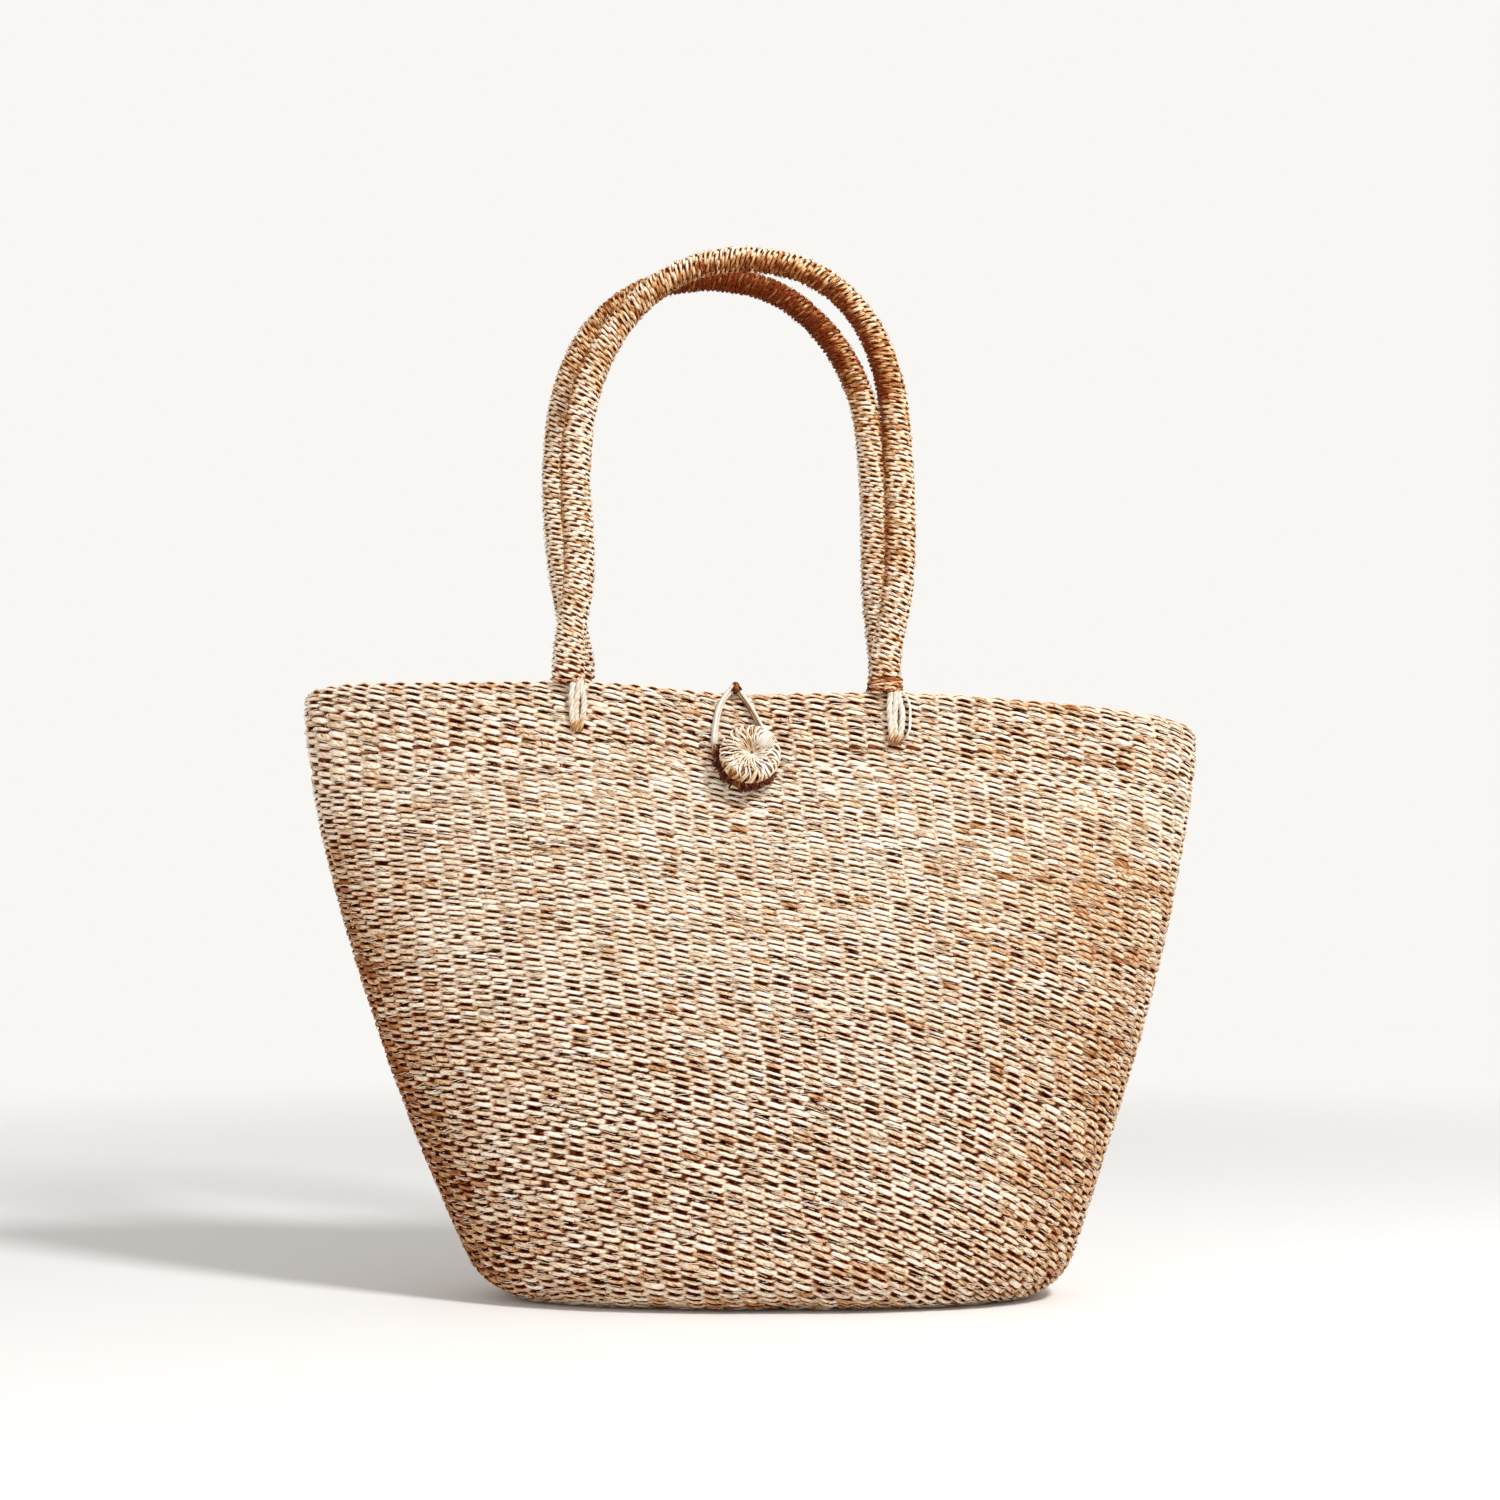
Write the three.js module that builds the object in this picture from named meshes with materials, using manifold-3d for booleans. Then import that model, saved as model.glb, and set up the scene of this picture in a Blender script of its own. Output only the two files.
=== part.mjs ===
// Banana fibre handbag: a twined basket body with a turned-in hem, two wrapped arch handles
// lashed to the rim, and a rosette button held by a cord loop.
// Millimetres, +Z up, front towards -Y, origin under the middle of the base.

import * as THREE from 'three';
import { mergeVertices } from 'three/addons/utils/BufferGeometryUtils.js';
import Module from 'manifold-3d';

const wasm = await Module();
wasm.setup();

// Woven body
const RIM_HEIGHT = 297.5;
const RIM_HALF_WIDTH = 220.5;
const RIM_HALF_DEPTH = 33;
const RIM_ROUNDNESS = 2.2;
const BASE_HALF_WIDTH = 141;
const BASE_HALF_DEPTH = 64;
const BASE_ROUNDNESS = 2.3;
const BASE_SHIFT = 11;
const BASE_SHIFT_CURVE = 1.5;
const FLARE_HEIGHT = 285;
const FLARE_CURVE = 1.5;
const DEPTH_CURVE = 1.8;
const BELLY = 7;
const WALL = 4.2;
const BASE_TURN = 22;

// Rim line: it sags at the button, rises to the left, droops to the right and dips at both ends
const RIM_LEFT_RISE = 4;
const RIM_LEFT_REACH = 90;
const RIM_RIGHT_DROOP = 14.5;
const RIM_SAG = 2.3;
const RIM_SAG_REACH = 44;
const RIM_END_DIP = 6;
const RIM_END_POWER = 24;
const RIM_LINE_CURVE = 3;
const MOUTH_PINCH = 6;
const MOUTH_PINCH_REACH = 60;
const MOUTH_PINCH_CURVE = 4;

// Hem turned in at the rim, and the cord along its lower edge
const HEM_DEPTH = 29.5;
const HEM_CORD_RADIUS = 0.8;

// Handles
const WRAP_THICKNESS = 3;
const CROWN_WRAP_THICKNESS = 2.05;
const HANDLE_TAPER_START = 95;
const HANDLE_TAPER_END = 225;
const HANDLE_SPRING_RISE = 108;
const HANDLE_ARCH_RISE = 101;
const HANDLE_LEAN = 7;
const HANDLE_NECK_DIP = 0.3;
const HANDLE_NECK_RISE = 28;
const HANDLE_NECK_REACH = 16;
const HANDLE_FOOT_FLARE = 1.7;
const HANDLE_FOOT_REACH = 9;
const HANDLE_FOOT_GAP = 0.6;
const HANDLE_FOOT_STRAIGHT = 14;
const CORE_RADIUS = 4;
const CORE_FOOT_REACH = 12;
const FRONT_ARCH = {
  leftFoot: -88,
  rightFoot: 65,
  centre: -6,
  halfSpan: 79,
  leftFullness: 2,
  rightFullness: 2.35,
  leftBow: 2.7,
  rightBow: 2.2,
};
const REAR_ARCH = {
  leftFoot: -86,
  rightFoot: 64.5,
  centre: -19.5,
  halfSpan: 79.5,
  leftFullness: 2.35,
  rightFullness: 2.15,
  leftBow: -1.7,
  rightBow: 0,
};

// Lashings that tie the handle feet to the rim
const LASHING_RADIUS = 1.2;
const LASHING_PITCH = 2.9;
const LASHING_TURNS = 3;
const LASHING_HEM_MARGIN = 1.9;
const LASHING_BEND = 1.9;
const EYE_SILL = 1.4;
const EYE_CHEEK = 1.5;

// Button
const BUTTON_RADIUS = 15;
const BUTTON_THICKNESS = 10;
const BUTTON_DIMPLE = 2.4;
const BUTTON_SLACK = 1;
const SHANK_RADIUS = 2;
const KNOT_HALF_WIDTH = 5;
const KNOT_HALF_HEIGHT = 2.2;
const KNOT_HALF_THICKNESS = 2.6;

// Loop that closes over the button
const LOOP_X = -7;
const LOOP_CORD_RADIUS = 1.2;
const NECK_RADIUS = 2.4;
const NECK_SETBACK = 2.9;
const SADDLE_WIDTH = 7;
const SADDLE_THICKNESS = 2;
const SADDLE_DROP = 12;
const SADDLE_CLEARANCE = 0.6;

// Clearance kept between neighbouring pieces
const CLEARANCE = 0.3;
const STRAND_CLEARANCE = 0.4;

// Fineness of the facets
const AROUND = 56;
const CORNER_STEPS = 4;
const SIDE_STEPS = 7;
const ARCH_STEPS = 8;
const HANDLE_SIDES = 10;
const HANDLE_FOOT_STATIONS = [0, 4, 9, 16, 25, 36];
const HANDLE_ARCH_STATIONS = 22;
const CORE_SIDES = 8;
const STRAND_SIDES = 6;
const LASHING_BEND_STEPS = 3;
const LASHING_RUN_STEPS = 3;
const CORD_SIDES = 8;
const BUTTON_SIDES = 20;
const BUTTON_RIM_STEPS = 6;
const SHANK_SIDES = 12;
const KNOT_SIDES = 10;
const KNOT_BANDS = 8;
const NECK_END_STEPS = 3;
const NECK_TIP = 0.4;

// Straw tones
const STRAW_ROUGHNESS = 0.8;
const STRAW = {
  body: '#d9b98c',
  hem: '#cfa873',
  handle: '#d8b285',
  core: '#a8672e',
  pale: '#eadbc0',
  dark: '#8a4420',
};

function straw(tone) {
  return new THREE.MeshStandardMaterial({ color: STRAW[tone], roughness: STRAW_ROUGHNESS, metalness: 0 });
}

function piece(name, geometry, tone) {
  const mesh = new THREE.Mesh(geometry, straw(tone));
  mesh.name = name;
  return mesh;
}

// Body surface. A share runs from 0 at the base to 1 at the rim, and an inset goes in from the outer face.

function rimLine(x) {
  const side = x / RIM_HALF_WIDTH;
  const rise = THREE.MathUtils.smoothstep(-x, 0, RIM_LEFT_REACH) * RIM_LEFT_RISE;
  const droop = RIM_RIGHT_DROOP * Math.max(side, 0) ** 2;
  const sag = RIM_SAG * Math.exp(-((x / RIM_SAG_REACH) ** 2));
  const dip = RIM_END_DIP * Math.min(Math.abs(side), 1) ** RIM_END_POWER;
  return rise - droop - sag - dip;
}

function surfaceHeight(x, share) {
  return share * RIM_HEIGHT + share ** RIM_LINE_CURVE * rimLine(x);
}

function planAt(share) {
  const flare = 1 - (1 - Math.min((share * RIM_HEIGHT) / FLARE_HEIGHT, 1)) ** FLARE_CURVE;
  const closing = share ** DEPTH_CURVE;
  const belly = BELLY * Math.sin(Math.PI * share);
  return {
    centre: BASE_SHIFT * (1 - share) ** BASE_SHIFT_CURVE,
    halfWidth: THREE.MathUtils.lerp(BASE_HALF_WIDTH, RIM_HALF_WIDTH, flare),
    halfDepth: THREE.MathUtils.lerp(BASE_HALF_DEPTH, RIM_HALF_DEPTH, closing) + belly,
    roundness: THREE.MathUtils.lerp(BASE_ROUNDNESS, RIM_ROUNDNESS, share),
  };
}

function pinchAt(x, share) {
  return MOUTH_PINCH * Math.exp(-((x / MOUTH_PINCH_REACH) ** 2)) * share ** MOUTH_PINCH_CURVE;
}

function depthAt(x, share, inset) {
  const plan = planAt(share);
  const across = Math.abs(x - plan.centre) / (plan.halfWidth - inset);
  const curve = (1 - Math.min(across, 1) ** plan.roundness) ** (1 / plan.roundness);
  return (plan.halfDepth - inset) * curve - pinchAt(x, share);
}

function wallRing(share, inset, lift = 0) {
  const plan = planAt(share);
  const power = 2 / plan.roundness;
  const ring = [];
  for (let step = 0; step < AROUND; step += 1) {
    const angle = (2 * Math.PI * (step + 0.5)) / AROUND;
    const across = Math.sign(Math.cos(angle)) * Math.abs(Math.cos(angle)) ** power;
    const deep = Math.abs(Math.sin(angle)) ** power;
    const x = plan.centre + (plan.halfWidth - inset) * across;
    const y = Math.sign(Math.sin(angle)) * ((plan.halfDepth - inset) * deep - pinchAt(x, share));
    ring.push(new THREE.Vector3(x, y, surfaceHeight(x, share) + lift));
  }
  return ring;
}

function shareBelowRim(drop) {
  return 1 - drop / RIM_HEIGHT;
}

// Solids from rings of points. Rings turn anticlockwise about the way the loft travels.

function loft(rings, closed = false) {
  const count = rings[0].length;
  const triangles = [];
  const bands = closed ? rings.length : rings.length - 1;
  for (let band = 0; band < bands; band += 1) {
    const here = band * count;
    const next = ((band + 1) % rings.length) * count;
    for (let k = 0; k < count; k += 1) {
      const turn = (k + 1) % count;
      triangles.push(here + k, here + turn, next + turn);
      triangles.push(here + k, next + turn, next + k);
    }
  }
  if (!closed) {
    const last = (rings.length - 1) * count;
    for (let k = 1; k < count - 1; k += 1) {
      triangles.push(0, k + 1, k);
      triangles.push(last, last + k, last + k + 1);
    }
  }
  const geometry = new THREE.BufferGeometry().setFromPoints(rings.flat());
  geometry.setIndex(triangles);
  return geometry;
}

function sectionRing(centre, across, upward, radius, sides) {
  const ring = [];
  for (let side = 0; side < sides; side += 1) {
    const angle = (2 * Math.PI * (side + 0.5)) / sides;
    ring.push(
      centre
        .clone()
        .addScaledVector(across, radius * Math.cos(angle))
        .addScaledVector(upward, radius * Math.sin(angle)),
    );
  }
  return ring;
}

function directionAt(points, index) {
  const before = points[Math.max(index - 1, 0)];
  const after = points[Math.min(index + 1, points.length - 1)];
  return after.clone().sub(before).normalize();
}

function strand(points, radius, sides) {
  const rings = [];
  let across = new THREE.Vector3(1, 0, 0);
  for (let index = 0; index < points.length; index += 1) {
    const along = directionAt(points, index);
    across = across.clone().addScaledVector(along, -across.dot(along)).normalize();
    const upward = new THREE.Vector3().crossVectors(along, across);
    rings.push(sectionRing(points[index], across, upward, radius, sides));
  }
  return loft(rings);
}

function cut(geometry, tools) {
  let solid = toSolid(geometry);
  for (const tool of tools) {
    solid = solid.subtract(toSolid(tool));
  }
  const mesh = solid.getMesh();
  const result = new THREE.BufferGeometry();
  result.setAttribute('position', new THREE.BufferAttribute(new Float32Array(mesh.vertProperties), 3));
  result.setIndex(new THREE.BufferAttribute(new Uint32Array(mesh.triVerts), 1));
  return result;
}

function toSolid(geometry) {
  const bare = geometry.clone();
  bare.deleteAttribute('normal');
  bare.deleteAttribute('uv');
  const merged = mergeVertices(bare);
  const mesh = new wasm.Mesh({
    numProp: 3,
    vertProperties: merged.attributes.position.array,
    triVerts: Uint32Array.from(merged.index.array),
  });
  return new wasm.Manifold(mesh);
}

// Handle feet and the eyes and slots that their lashings pass through

const RIM_THICKNESS = 2 * WALL + CLEARANCE;
const HANDLE_RADIUS = CORE_RADIUS + WRAP_THICKNESS;
const CROWN_RADIUS = CORE_RADIUS + CROWN_WRAP_THICKNESS;
const LASHING_WIDTH = (LASHING_TURNS - 1) * LASHING_PITCH + 2 * LASHING_RADIUS;
const EYE_WIDTH = LASHING_WIDTH + 2 * STRAND_CLEARANCE;
const EYE_HEIGHT = 2 * (LASHING_RADIUS + STRAND_CLEARANCE);
const LASHING_DROP = HEM_DEPTH - LASHING_HEM_MARGIN - EYE_HEIGHT / 2;
const CORE_FOOT_RADIUS = EYE_WIDTH / 2 + EYE_CHEEK;
const WRAP_START = EYE_SILL + EYE_HEIGHT + CLEARANCE;

function footAt(x, side) {
  const outer = depthAt(x, 1, 0);
  const inner = depthAt(x, 1, RIM_THICKNESS);
  const base = surfaceHeight(x, 1) + HANDLE_FOOT_GAP;
  return { x, side, depth: (outer + inner) / 2, base, eye: base + EYE_SILL + EYE_HEIGHT / 2 };
}

function eyeTool(foot) {
  const reach = 4 * CORE_FOOT_RADIUS;
  const tool = new THREE.BoxGeometry(EYE_WIDTH, reach, EYE_HEIGHT);
  return tool.translate(foot.x, foot.side * foot.depth, foot.eye);
}

function hemSlotTool(foot) {
  const share = shareBelowRim(LASHING_DROP);
  const middle = (depthAt(foot.x, share, 0) + depthAt(foot.x, share, RIM_THICKNESS)) / 2;
  const tool = new THREE.BoxGeometry(EYE_WIDTH, 2 * RIM_THICKNESS, EYE_HEIGHT);
  return tool.translate(foot.x, foot.side * middle, surfaceHeight(foot.x, share));
}

const FEET = {
  front_left: footAt(FRONT_ARCH.leftFoot, -1),
  front_right: footAt(FRONT_ARCH.rightFoot, -1),
  rear_left: footAt(REAR_ARCH.leftFoot, 1),
  rear_right: footAt(REAR_ARCH.rightFoot, 1),
};

// Woven body pieces

function cornerRings(inset, lift, radius) {
  const rings = [];
  for (let step = 0; step <= CORNER_STEPS; step += 1) {
    const angle = (Math.PI / 2) * (step / CORNER_STEPS);
    const height = lift + radius * (1 - Math.cos(angle));
    rings.push(wallRing(height / RIM_HEIGHT, inset + radius * (1 - Math.sin(angle))));
  }
  return rings;
}

function sideShares() {
  const shares = [];
  const start = BASE_TURN / RIM_HEIGHT;
  const hem = shareBelowRim(HEM_DEPTH);
  for (let step = 1; step <= SIDE_STEPS; step += 1) {
    shares.push(THREE.MathUtils.lerp(start, hem, step / SIDE_STEPS));
  }
  return shares.concat(hemShares().slice(1));
}

function hemShares() {
  const hem = shareBelowRim(HEM_DEPTH);
  return [hem, (hem + 1) / 2, 1];
}

function wallSkin(inset) {
  const corner = cornerRings(inset, inset, BASE_TURN - inset);
  return corner.concat(sideShares().map((share) => wallRing(share, inset)));
}

function wovenWall() {
  const outer = wallSkin(0);
  const inner = wallSkin(WALL);
  const body = loft(outer.concat(inner.reverse()), true);
  return cut(body, Object.values(FEET).map(hemSlotTool).concat(shankTool()));
}

function wovenBase() {
  const inset = BASE_TURN + CLEARANCE;
  return loft([wallRing(0, inset), wallRing(WALL / RIM_HEIGHT, inset)]);
}

function hemFacing() {
  const outer = hemShares().map((share) => wallRing(share, WALL + CLEARANCE));
  const inner = hemShares().map((share) => wallRing(share, RIM_THICKNESS));
  return cut(loft(outer.concat(inner.reverse()), true), Object.values(FEET).map(hemSlotTool));
}

function hemCord() {
  const share = shareBelowRim(HEM_DEPTH + CLEARANCE + HEM_CORD_RADIUS);
  const middle = WALL + CLEARANCE + HEM_CORD_RADIUS;
  const rings = [];
  for (let side = 0; side < STRAND_SIDES; side += 1) {
    const angle = (2 * Math.PI * side) / STRAND_SIDES;
    const inset = middle - HEM_CORD_RADIUS * Math.cos(angle);
    rings.push(wallRing(share, inset, HEM_CORD_RADIUS * Math.sin(angle)));
  }
  return loft(rings, true);
}

// Handles: an arch on two bowed legs that lean in a little towards the other handle. An arch's fullness is 2
// for an ellipse and more for a squarer shoulder.

function handleCurve(arch, left, right) {
  const springHeight = RIM_HEIGHT + HANDLE_SPRING_RISE;
  const crownHeight = springHeight + HANDLE_ARCH_RISE;
  const side = left.side;
  const place = (x, z, foot) => {
    const rise = (z - foot.base) / (crownHeight - foot.base);
    return new THREE.Vector3(x, side * (foot.depth - HANDLE_LEAN * rise), z);
  };
  const springLeft = arch.centre - arch.halfSpan;
  const springRight = arch.centre + arch.halfSpan;
  const points = [place(left.x, left.base, left), place(left.x, left.base + HANDLE_FOOT_STRAIGHT, left)];
  points.push(place((left.x + springLeft) / 2 + arch.leftBow, (left.base + springHeight) / 2, left));
  for (let step = 0; step <= ARCH_STEPS; step += 1) {
    const angle = Math.PI * (1 - step / ARCH_STEPS);
    const onLeft = step < ARCH_STEPS / 2;
    const power = 2 / (onLeft ? arch.leftFullness : arch.rightFullness);
    const across = Math.sign(Math.cos(angle)) * Math.abs(Math.cos(angle)) ** power;
    const z = springHeight + HANDLE_ARCH_RISE * Math.abs(Math.sin(angle)) ** power;
    points.push(place(arch.centre + arch.halfSpan * across, z, onLeft ? left : right));
  }
  points.push(place((right.x + springRight) / 2 + arch.rightBow, (right.base + springHeight) / 2, right));
  points.push(place(right.x, right.base + HANDLE_FOOT_STRAIGHT, right), place(right.x, right.base, right));
  return new THREE.CatmullRomCurve3(points, false, 'centripetal');
}

function wrapRadius(distance) {
  const neck = HANDLE_NECK_DIP * Math.exp(-(((distance - HANDLE_NECK_RISE) / HANDLE_NECK_REACH) ** 2));
  const flare = HANDLE_FOOT_FLARE * Math.exp(-((distance / HANDLE_FOOT_REACH) ** 2));
  const taper = THREE.MathUtils.smoothstep(distance, HANDLE_TAPER_START, HANDLE_TAPER_END);
  return THREE.MathUtils.lerp(HANDLE_RADIUS, CROWN_RADIUS, taper) - neck + flare;
}

function coreRadius(distance) {
  return CORE_RADIUS + (CORE_FOOT_RADIUS - CORE_RADIUS) * Math.exp(-((distance / CORE_FOOT_REACH) ** 2));
}

function handleStations(length, start) {
  const legEnd = start + HANDLE_FOOT_STATIONS[HANDLE_FOOT_STATIONS.length - 1];
  const stations = HANDLE_FOOT_STATIONS.map((rise) => start + rise);
  for (let step = 1; step < HANDLE_ARCH_STATIONS; step += 1) {
    stations.push(THREE.MathUtils.lerp(legEnd, length - legEnd, step / HANDLE_ARCH_STATIONS));
  }
  return stations.concat(HANDLE_FOOT_STATIONS.map((rise) => length - start - rise).reverse());
}

function handleRings(curve, start, radiusAt, sides) {
  const length = curve.getLength();
  const side = Math.sign(curve.getPoint(0).y);
  const sideways = new THREE.Vector3(0, side, (side * HANDLE_LEAN) / (HANDLE_SPRING_RISE + HANDLE_ARCH_RISE));
  sideways.normalize();
  return handleStations(length, start).map((station) => {
    const along = curve.getTangentAt(station / length);
    const across = sideways.clone().addScaledVector(along, -sideways.dot(along)).normalize();
    const upward = new THREE.Vector3().crossVectors(along, across);
    const radius = radiusAt(Math.min(station, length - station));
    return sectionRing(curve.getPointAt(station / length), across, upward, radius, sides);
  });
}

function handleCore(curve, left, right) {
  return cut(loft(handleRings(curve, 0, coreRadius, CORE_SIDES)), [eyeTool(left), eyeTool(right)]);
}

function handleWrap(curve) {
  const boreRadius = (distance) => (coreRadius(distance) + CLEARANCE) / Math.cos(Math.PI / HANDLE_SIDES);
  const outer = handleRings(curve, WRAP_START, wrapRadius, HANDLE_SIDES);
  const bore = handleRings(curve, WRAP_START, boreRadius, HANDLE_SIDES);
  return loft(outer.concat(bore.reverse()), true);
}

// Lashings: one unbroken strand that winds through the eye of a foot and through the hem

function roundedLoop(corners, bend, bendSteps, runSteps) {
  const points = [];
  const count = corners.length;
  for (let index = 0; index < count; index += 1) {
    const corner = corners[index];
    const back = corners[(index + count - 1) % count].clone().sub(corner).normalize();
    const ahead = corners[(index + 1) % count].clone().sub(corner).normalize();
    const half = Math.acos(THREE.MathUtils.clamp(back.dot(ahead), -1, 1)) / 2;
    const middle = back.clone().add(ahead).normalize();
    const centre = corner.clone().addScaledVector(middle, bend / Math.sin(half));
    const first = corner.clone().addScaledVector(back, bend / Math.tan(half)).sub(centre);
    const last = corner.clone().addScaledVector(ahead, bend / Math.tan(half)).sub(centre);
    const sweep = first.angleTo(last) * Math.sign(first.cross(last));
    for (let step = 0; step <= bendSteps; step += 1) {
      points.push(first.clone().rotateAround(new THREE.Vector2(), (sweep * step) / bendSteps).add(centre));
    }
    const start = points[points.length - 1];
    const next = corners[(index + 1) % count].clone().addScaledVector(ahead, -bend / Math.tan(half));
    for (let step = 1; step < runSteps; step += 1) {
      points.push(start.clone().lerp(next, step / runSteps));
    }
  }
  return points;
}

function lashingPoints(foot) {
  const hem = shareBelowRim(LASHING_DROP);
  const hemHeight = surfaceHeight(foot.x, hem);
  const offset = LASHING_RADIUS + STRAND_CLEARANCE;
  const outerHem = depthAt(foot.x, hem, 0) + offset;
  const innerHem = depthAt(foot.x, hem, RIM_THICKNESS) - offset;
  const footReach = CORE_FOOT_RADIUS + offset + STRAND_CLEARANCE;
  const corners = [
    new THREE.Vector2(innerHem, hemHeight),
    new THREE.Vector2(outerHem, hemHeight),
    new THREE.Vector2(foot.depth + footReach, foot.eye),
    new THREE.Vector2(foot.depth - footReach, foot.eye),
  ];
  const turn = roundedLoop(corners, LASHING_BEND, LASHING_BEND_STEPS, LASHING_RUN_STEPS);
  const innerRun = turn.length - LASHING_RUN_STEPS;
  const points = [];
  for (let index = 0; index < turn.length * LASHING_TURNS - 1; index += 1) {
    const step = index % turn.length;
    const wind = Math.floor(index / turn.length);
    const crossing = Math.max(step - innerRun, 0) / LASHING_RUN_STEPS;
    const strandX = foot.x + (wind + crossing - (LASHING_TURNS - 1) / 2) * LASHING_PITCH;
    points.push(new THREE.Vector3(strandX, foot.side * turn[step].x, turn[step].y));
  }
  return points;
}

function leastSelfGap(points, radius, turnSteps) {
  let least = Infinity;
  for (let a = 0; a < points.length; a += 1) {
    for (let b = a + Math.floor(turnSteps / 2); b < points.length; b += 1) {
      least = Math.min(least, points[a].distanceTo(points[b]));
    }
  }
  return least - 2 * radius;
}

// Button, set square to the wall

const BUTTON_DROP = HEM_DEPTH + CLEARANCE + 2 * HEM_CORD_RADIUS + STRAND_CLEARANCE + SHANK_RADIUS;
const BUTTON_SHARE = shareBelowRim(BUTTON_DROP);
const BUTTON_STANDOFF = 2 * LOOP_CORD_RADIUS + BUTTON_SLACK;

function buttonGroup() {
  const step = 1 / RIM_HEIGHT;
  const slope = depthAt(0, BUTTON_SHARE - step, 0) - depthAt(0, BUTTON_SHARE + step, 0);
  const fall = surfaceHeight(0, BUTTON_SHARE + step) - surfaceHeight(0, BUTTON_SHARE - step);
  const group = new THREE.Group();
  group.position.set(0, -depthAt(0, BUTTON_SHARE, 0), surfaceHeight(0, BUTTON_SHARE));
  group.rotation.x = Math.PI / 2 - Math.atan2(slope, fall);
  group.updateMatrix();
  return group;
}

function roundBar(radius, bottom, top, sides) {
  const bar = new THREE.CylinderGeometry(radius, radius, top - bottom, sides);
  return bar.rotateX(Math.PI / 2).translate(0, 0, (top + bottom) / 2);
}

function shankTool() {
  const tool = roundBar(SHANK_RADIUS + CLEARANCE, -2 * WALL, 2 * WALL, SHANK_SIDES);
  return tool.applyMatrix4(buttonGroup().matrix);
}

function buttonHead() {
  const rimRadius = BUTTON_THICKNESS / 2;
  const rimCentre = BUTTON_RADIUS - rimRadius;
  const profile = [new THREE.Vector2(0, 0)];
  for (let step = 0; step <= BUTTON_RIM_STEPS; step += 1) {
    const angle = -Math.PI / 2 + (Math.PI * step) / BUTTON_RIM_STEPS;
    const reach = rimCentre + rimRadius * Math.cos(angle);
    profile.push(new THREE.Vector2(reach, rimRadius * (1 + Math.sin(angle))));
  }
  profile.push(new THREE.Vector2(rimCentre / 2, BUTTON_THICKNESS - BUTTON_DIMPLE / 2));
  profile.push(new THREE.Vector2(0, BUTTON_THICKNESS - BUTTON_DIMPLE));
  const head = new THREE.LatheGeometry(profile, BUTTON_SIDES);
  return head.rotateX(Math.PI / 2).translate(0, 0, BUTTON_STANDOFF);
}

const KNOT_FACE = -(WALL + 2 * CLEARANCE + 2 * HEM_CORD_RADIUS);

function buttonKnot() {
  const knot = new THREE.SphereGeometry(1, KNOT_SIDES, KNOT_BANDS);
  knot.scale(KNOT_HALF_WIDTH, KNOT_HALF_HEIGHT, KNOT_HALF_THICKNESS);
  return knot.translate(0, 0, KNOT_FACE - KNOT_HALF_THICKNESS - CLEARANCE);
}

function buttonShank() {
  return roundBar(SHANK_RADIUS, KNOT_FACE + CLEARANCE, BUTTON_STANDOFF - CLEARANCE, SHANK_SIDES);
}

// Closing loop: a saddle on the rear rim, a bound neck across the mouth and a cord round the button shank

function loopSaddle() {
  const drop = shareBelowRim(SADDLE_DROP);
  const top = surfaceHeight(LOOP_X, 1) + SADDLE_CLEARANCE;
  const bottom = surfaceHeight(LOOP_X, drop);
  const outerTop = depthAt(LOOP_X, 1, 0) + SADDLE_CLEARANCE;
  const outerBottom = depthAt(LOOP_X, drop, 0) + SADDLE_CLEARANCE;
  const innerTop = depthAt(LOOP_X, 1, RIM_THICKNESS) - SADDLE_CLEARANCE;
  const innerBottom = depthAt(LOOP_X, drop, RIM_THICKNESS) - SADDLE_CLEARANCE;
  const outline = new THREE.Shape();
  outline.moveTo(outerBottom, bottom);
  outline.lineTo(outerBottom + SADDLE_THICKNESS, bottom);
  outline.lineTo(outerTop + SADDLE_THICKNESS, top);
  outline.lineTo(outerTop, top + SADDLE_THICKNESS);
  outline.lineTo(innerTop, top + SADDLE_THICKNESS);
  outline.lineTo(innerTop - SADDLE_THICKNESS, top);
  outline.lineTo(innerBottom - SADDLE_THICKNESS, bottom);
  outline.lineTo(innerBottom, bottom);
  outline.lineTo(innerTop, top);
  outline.lineTo(outerTop, top);
  const saddle = new THREE.ExtrudeGeometry(outline, { depth: SADDLE_WIDTH, bevelEnabled: false });
  saddle.rotateX(Math.PI / 2).rotateZ(Math.PI / 2);
  return saddle.translate(LOOP_X - SADDLE_WIDTH / 2, 0, 0);
}

function neckEnds() {
  const rim = surfaceHeight(LOOP_X, 1);
  const rearDepth = (depthAt(LOOP_X, 1, 0) + depthAt(LOOP_X, 1, RIM_THICKNESS)) / 2;
  const rearHeight = rim + SADDLE_CLEARANCE + SADDLE_THICKNESS + CLEARANCE + NECK_RADIUS;
  const frontDepth = depthAt(LOOP_X, 1, 0) - NECK_SETBACK;
  return {
    rear: new THREE.Vector3(LOOP_X, rearDepth, rearHeight),
    front: new THREE.Vector3(LOOP_X, -frontDepth, rim + CLEARANCE + NECK_RADIUS),
  };
}

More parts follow.
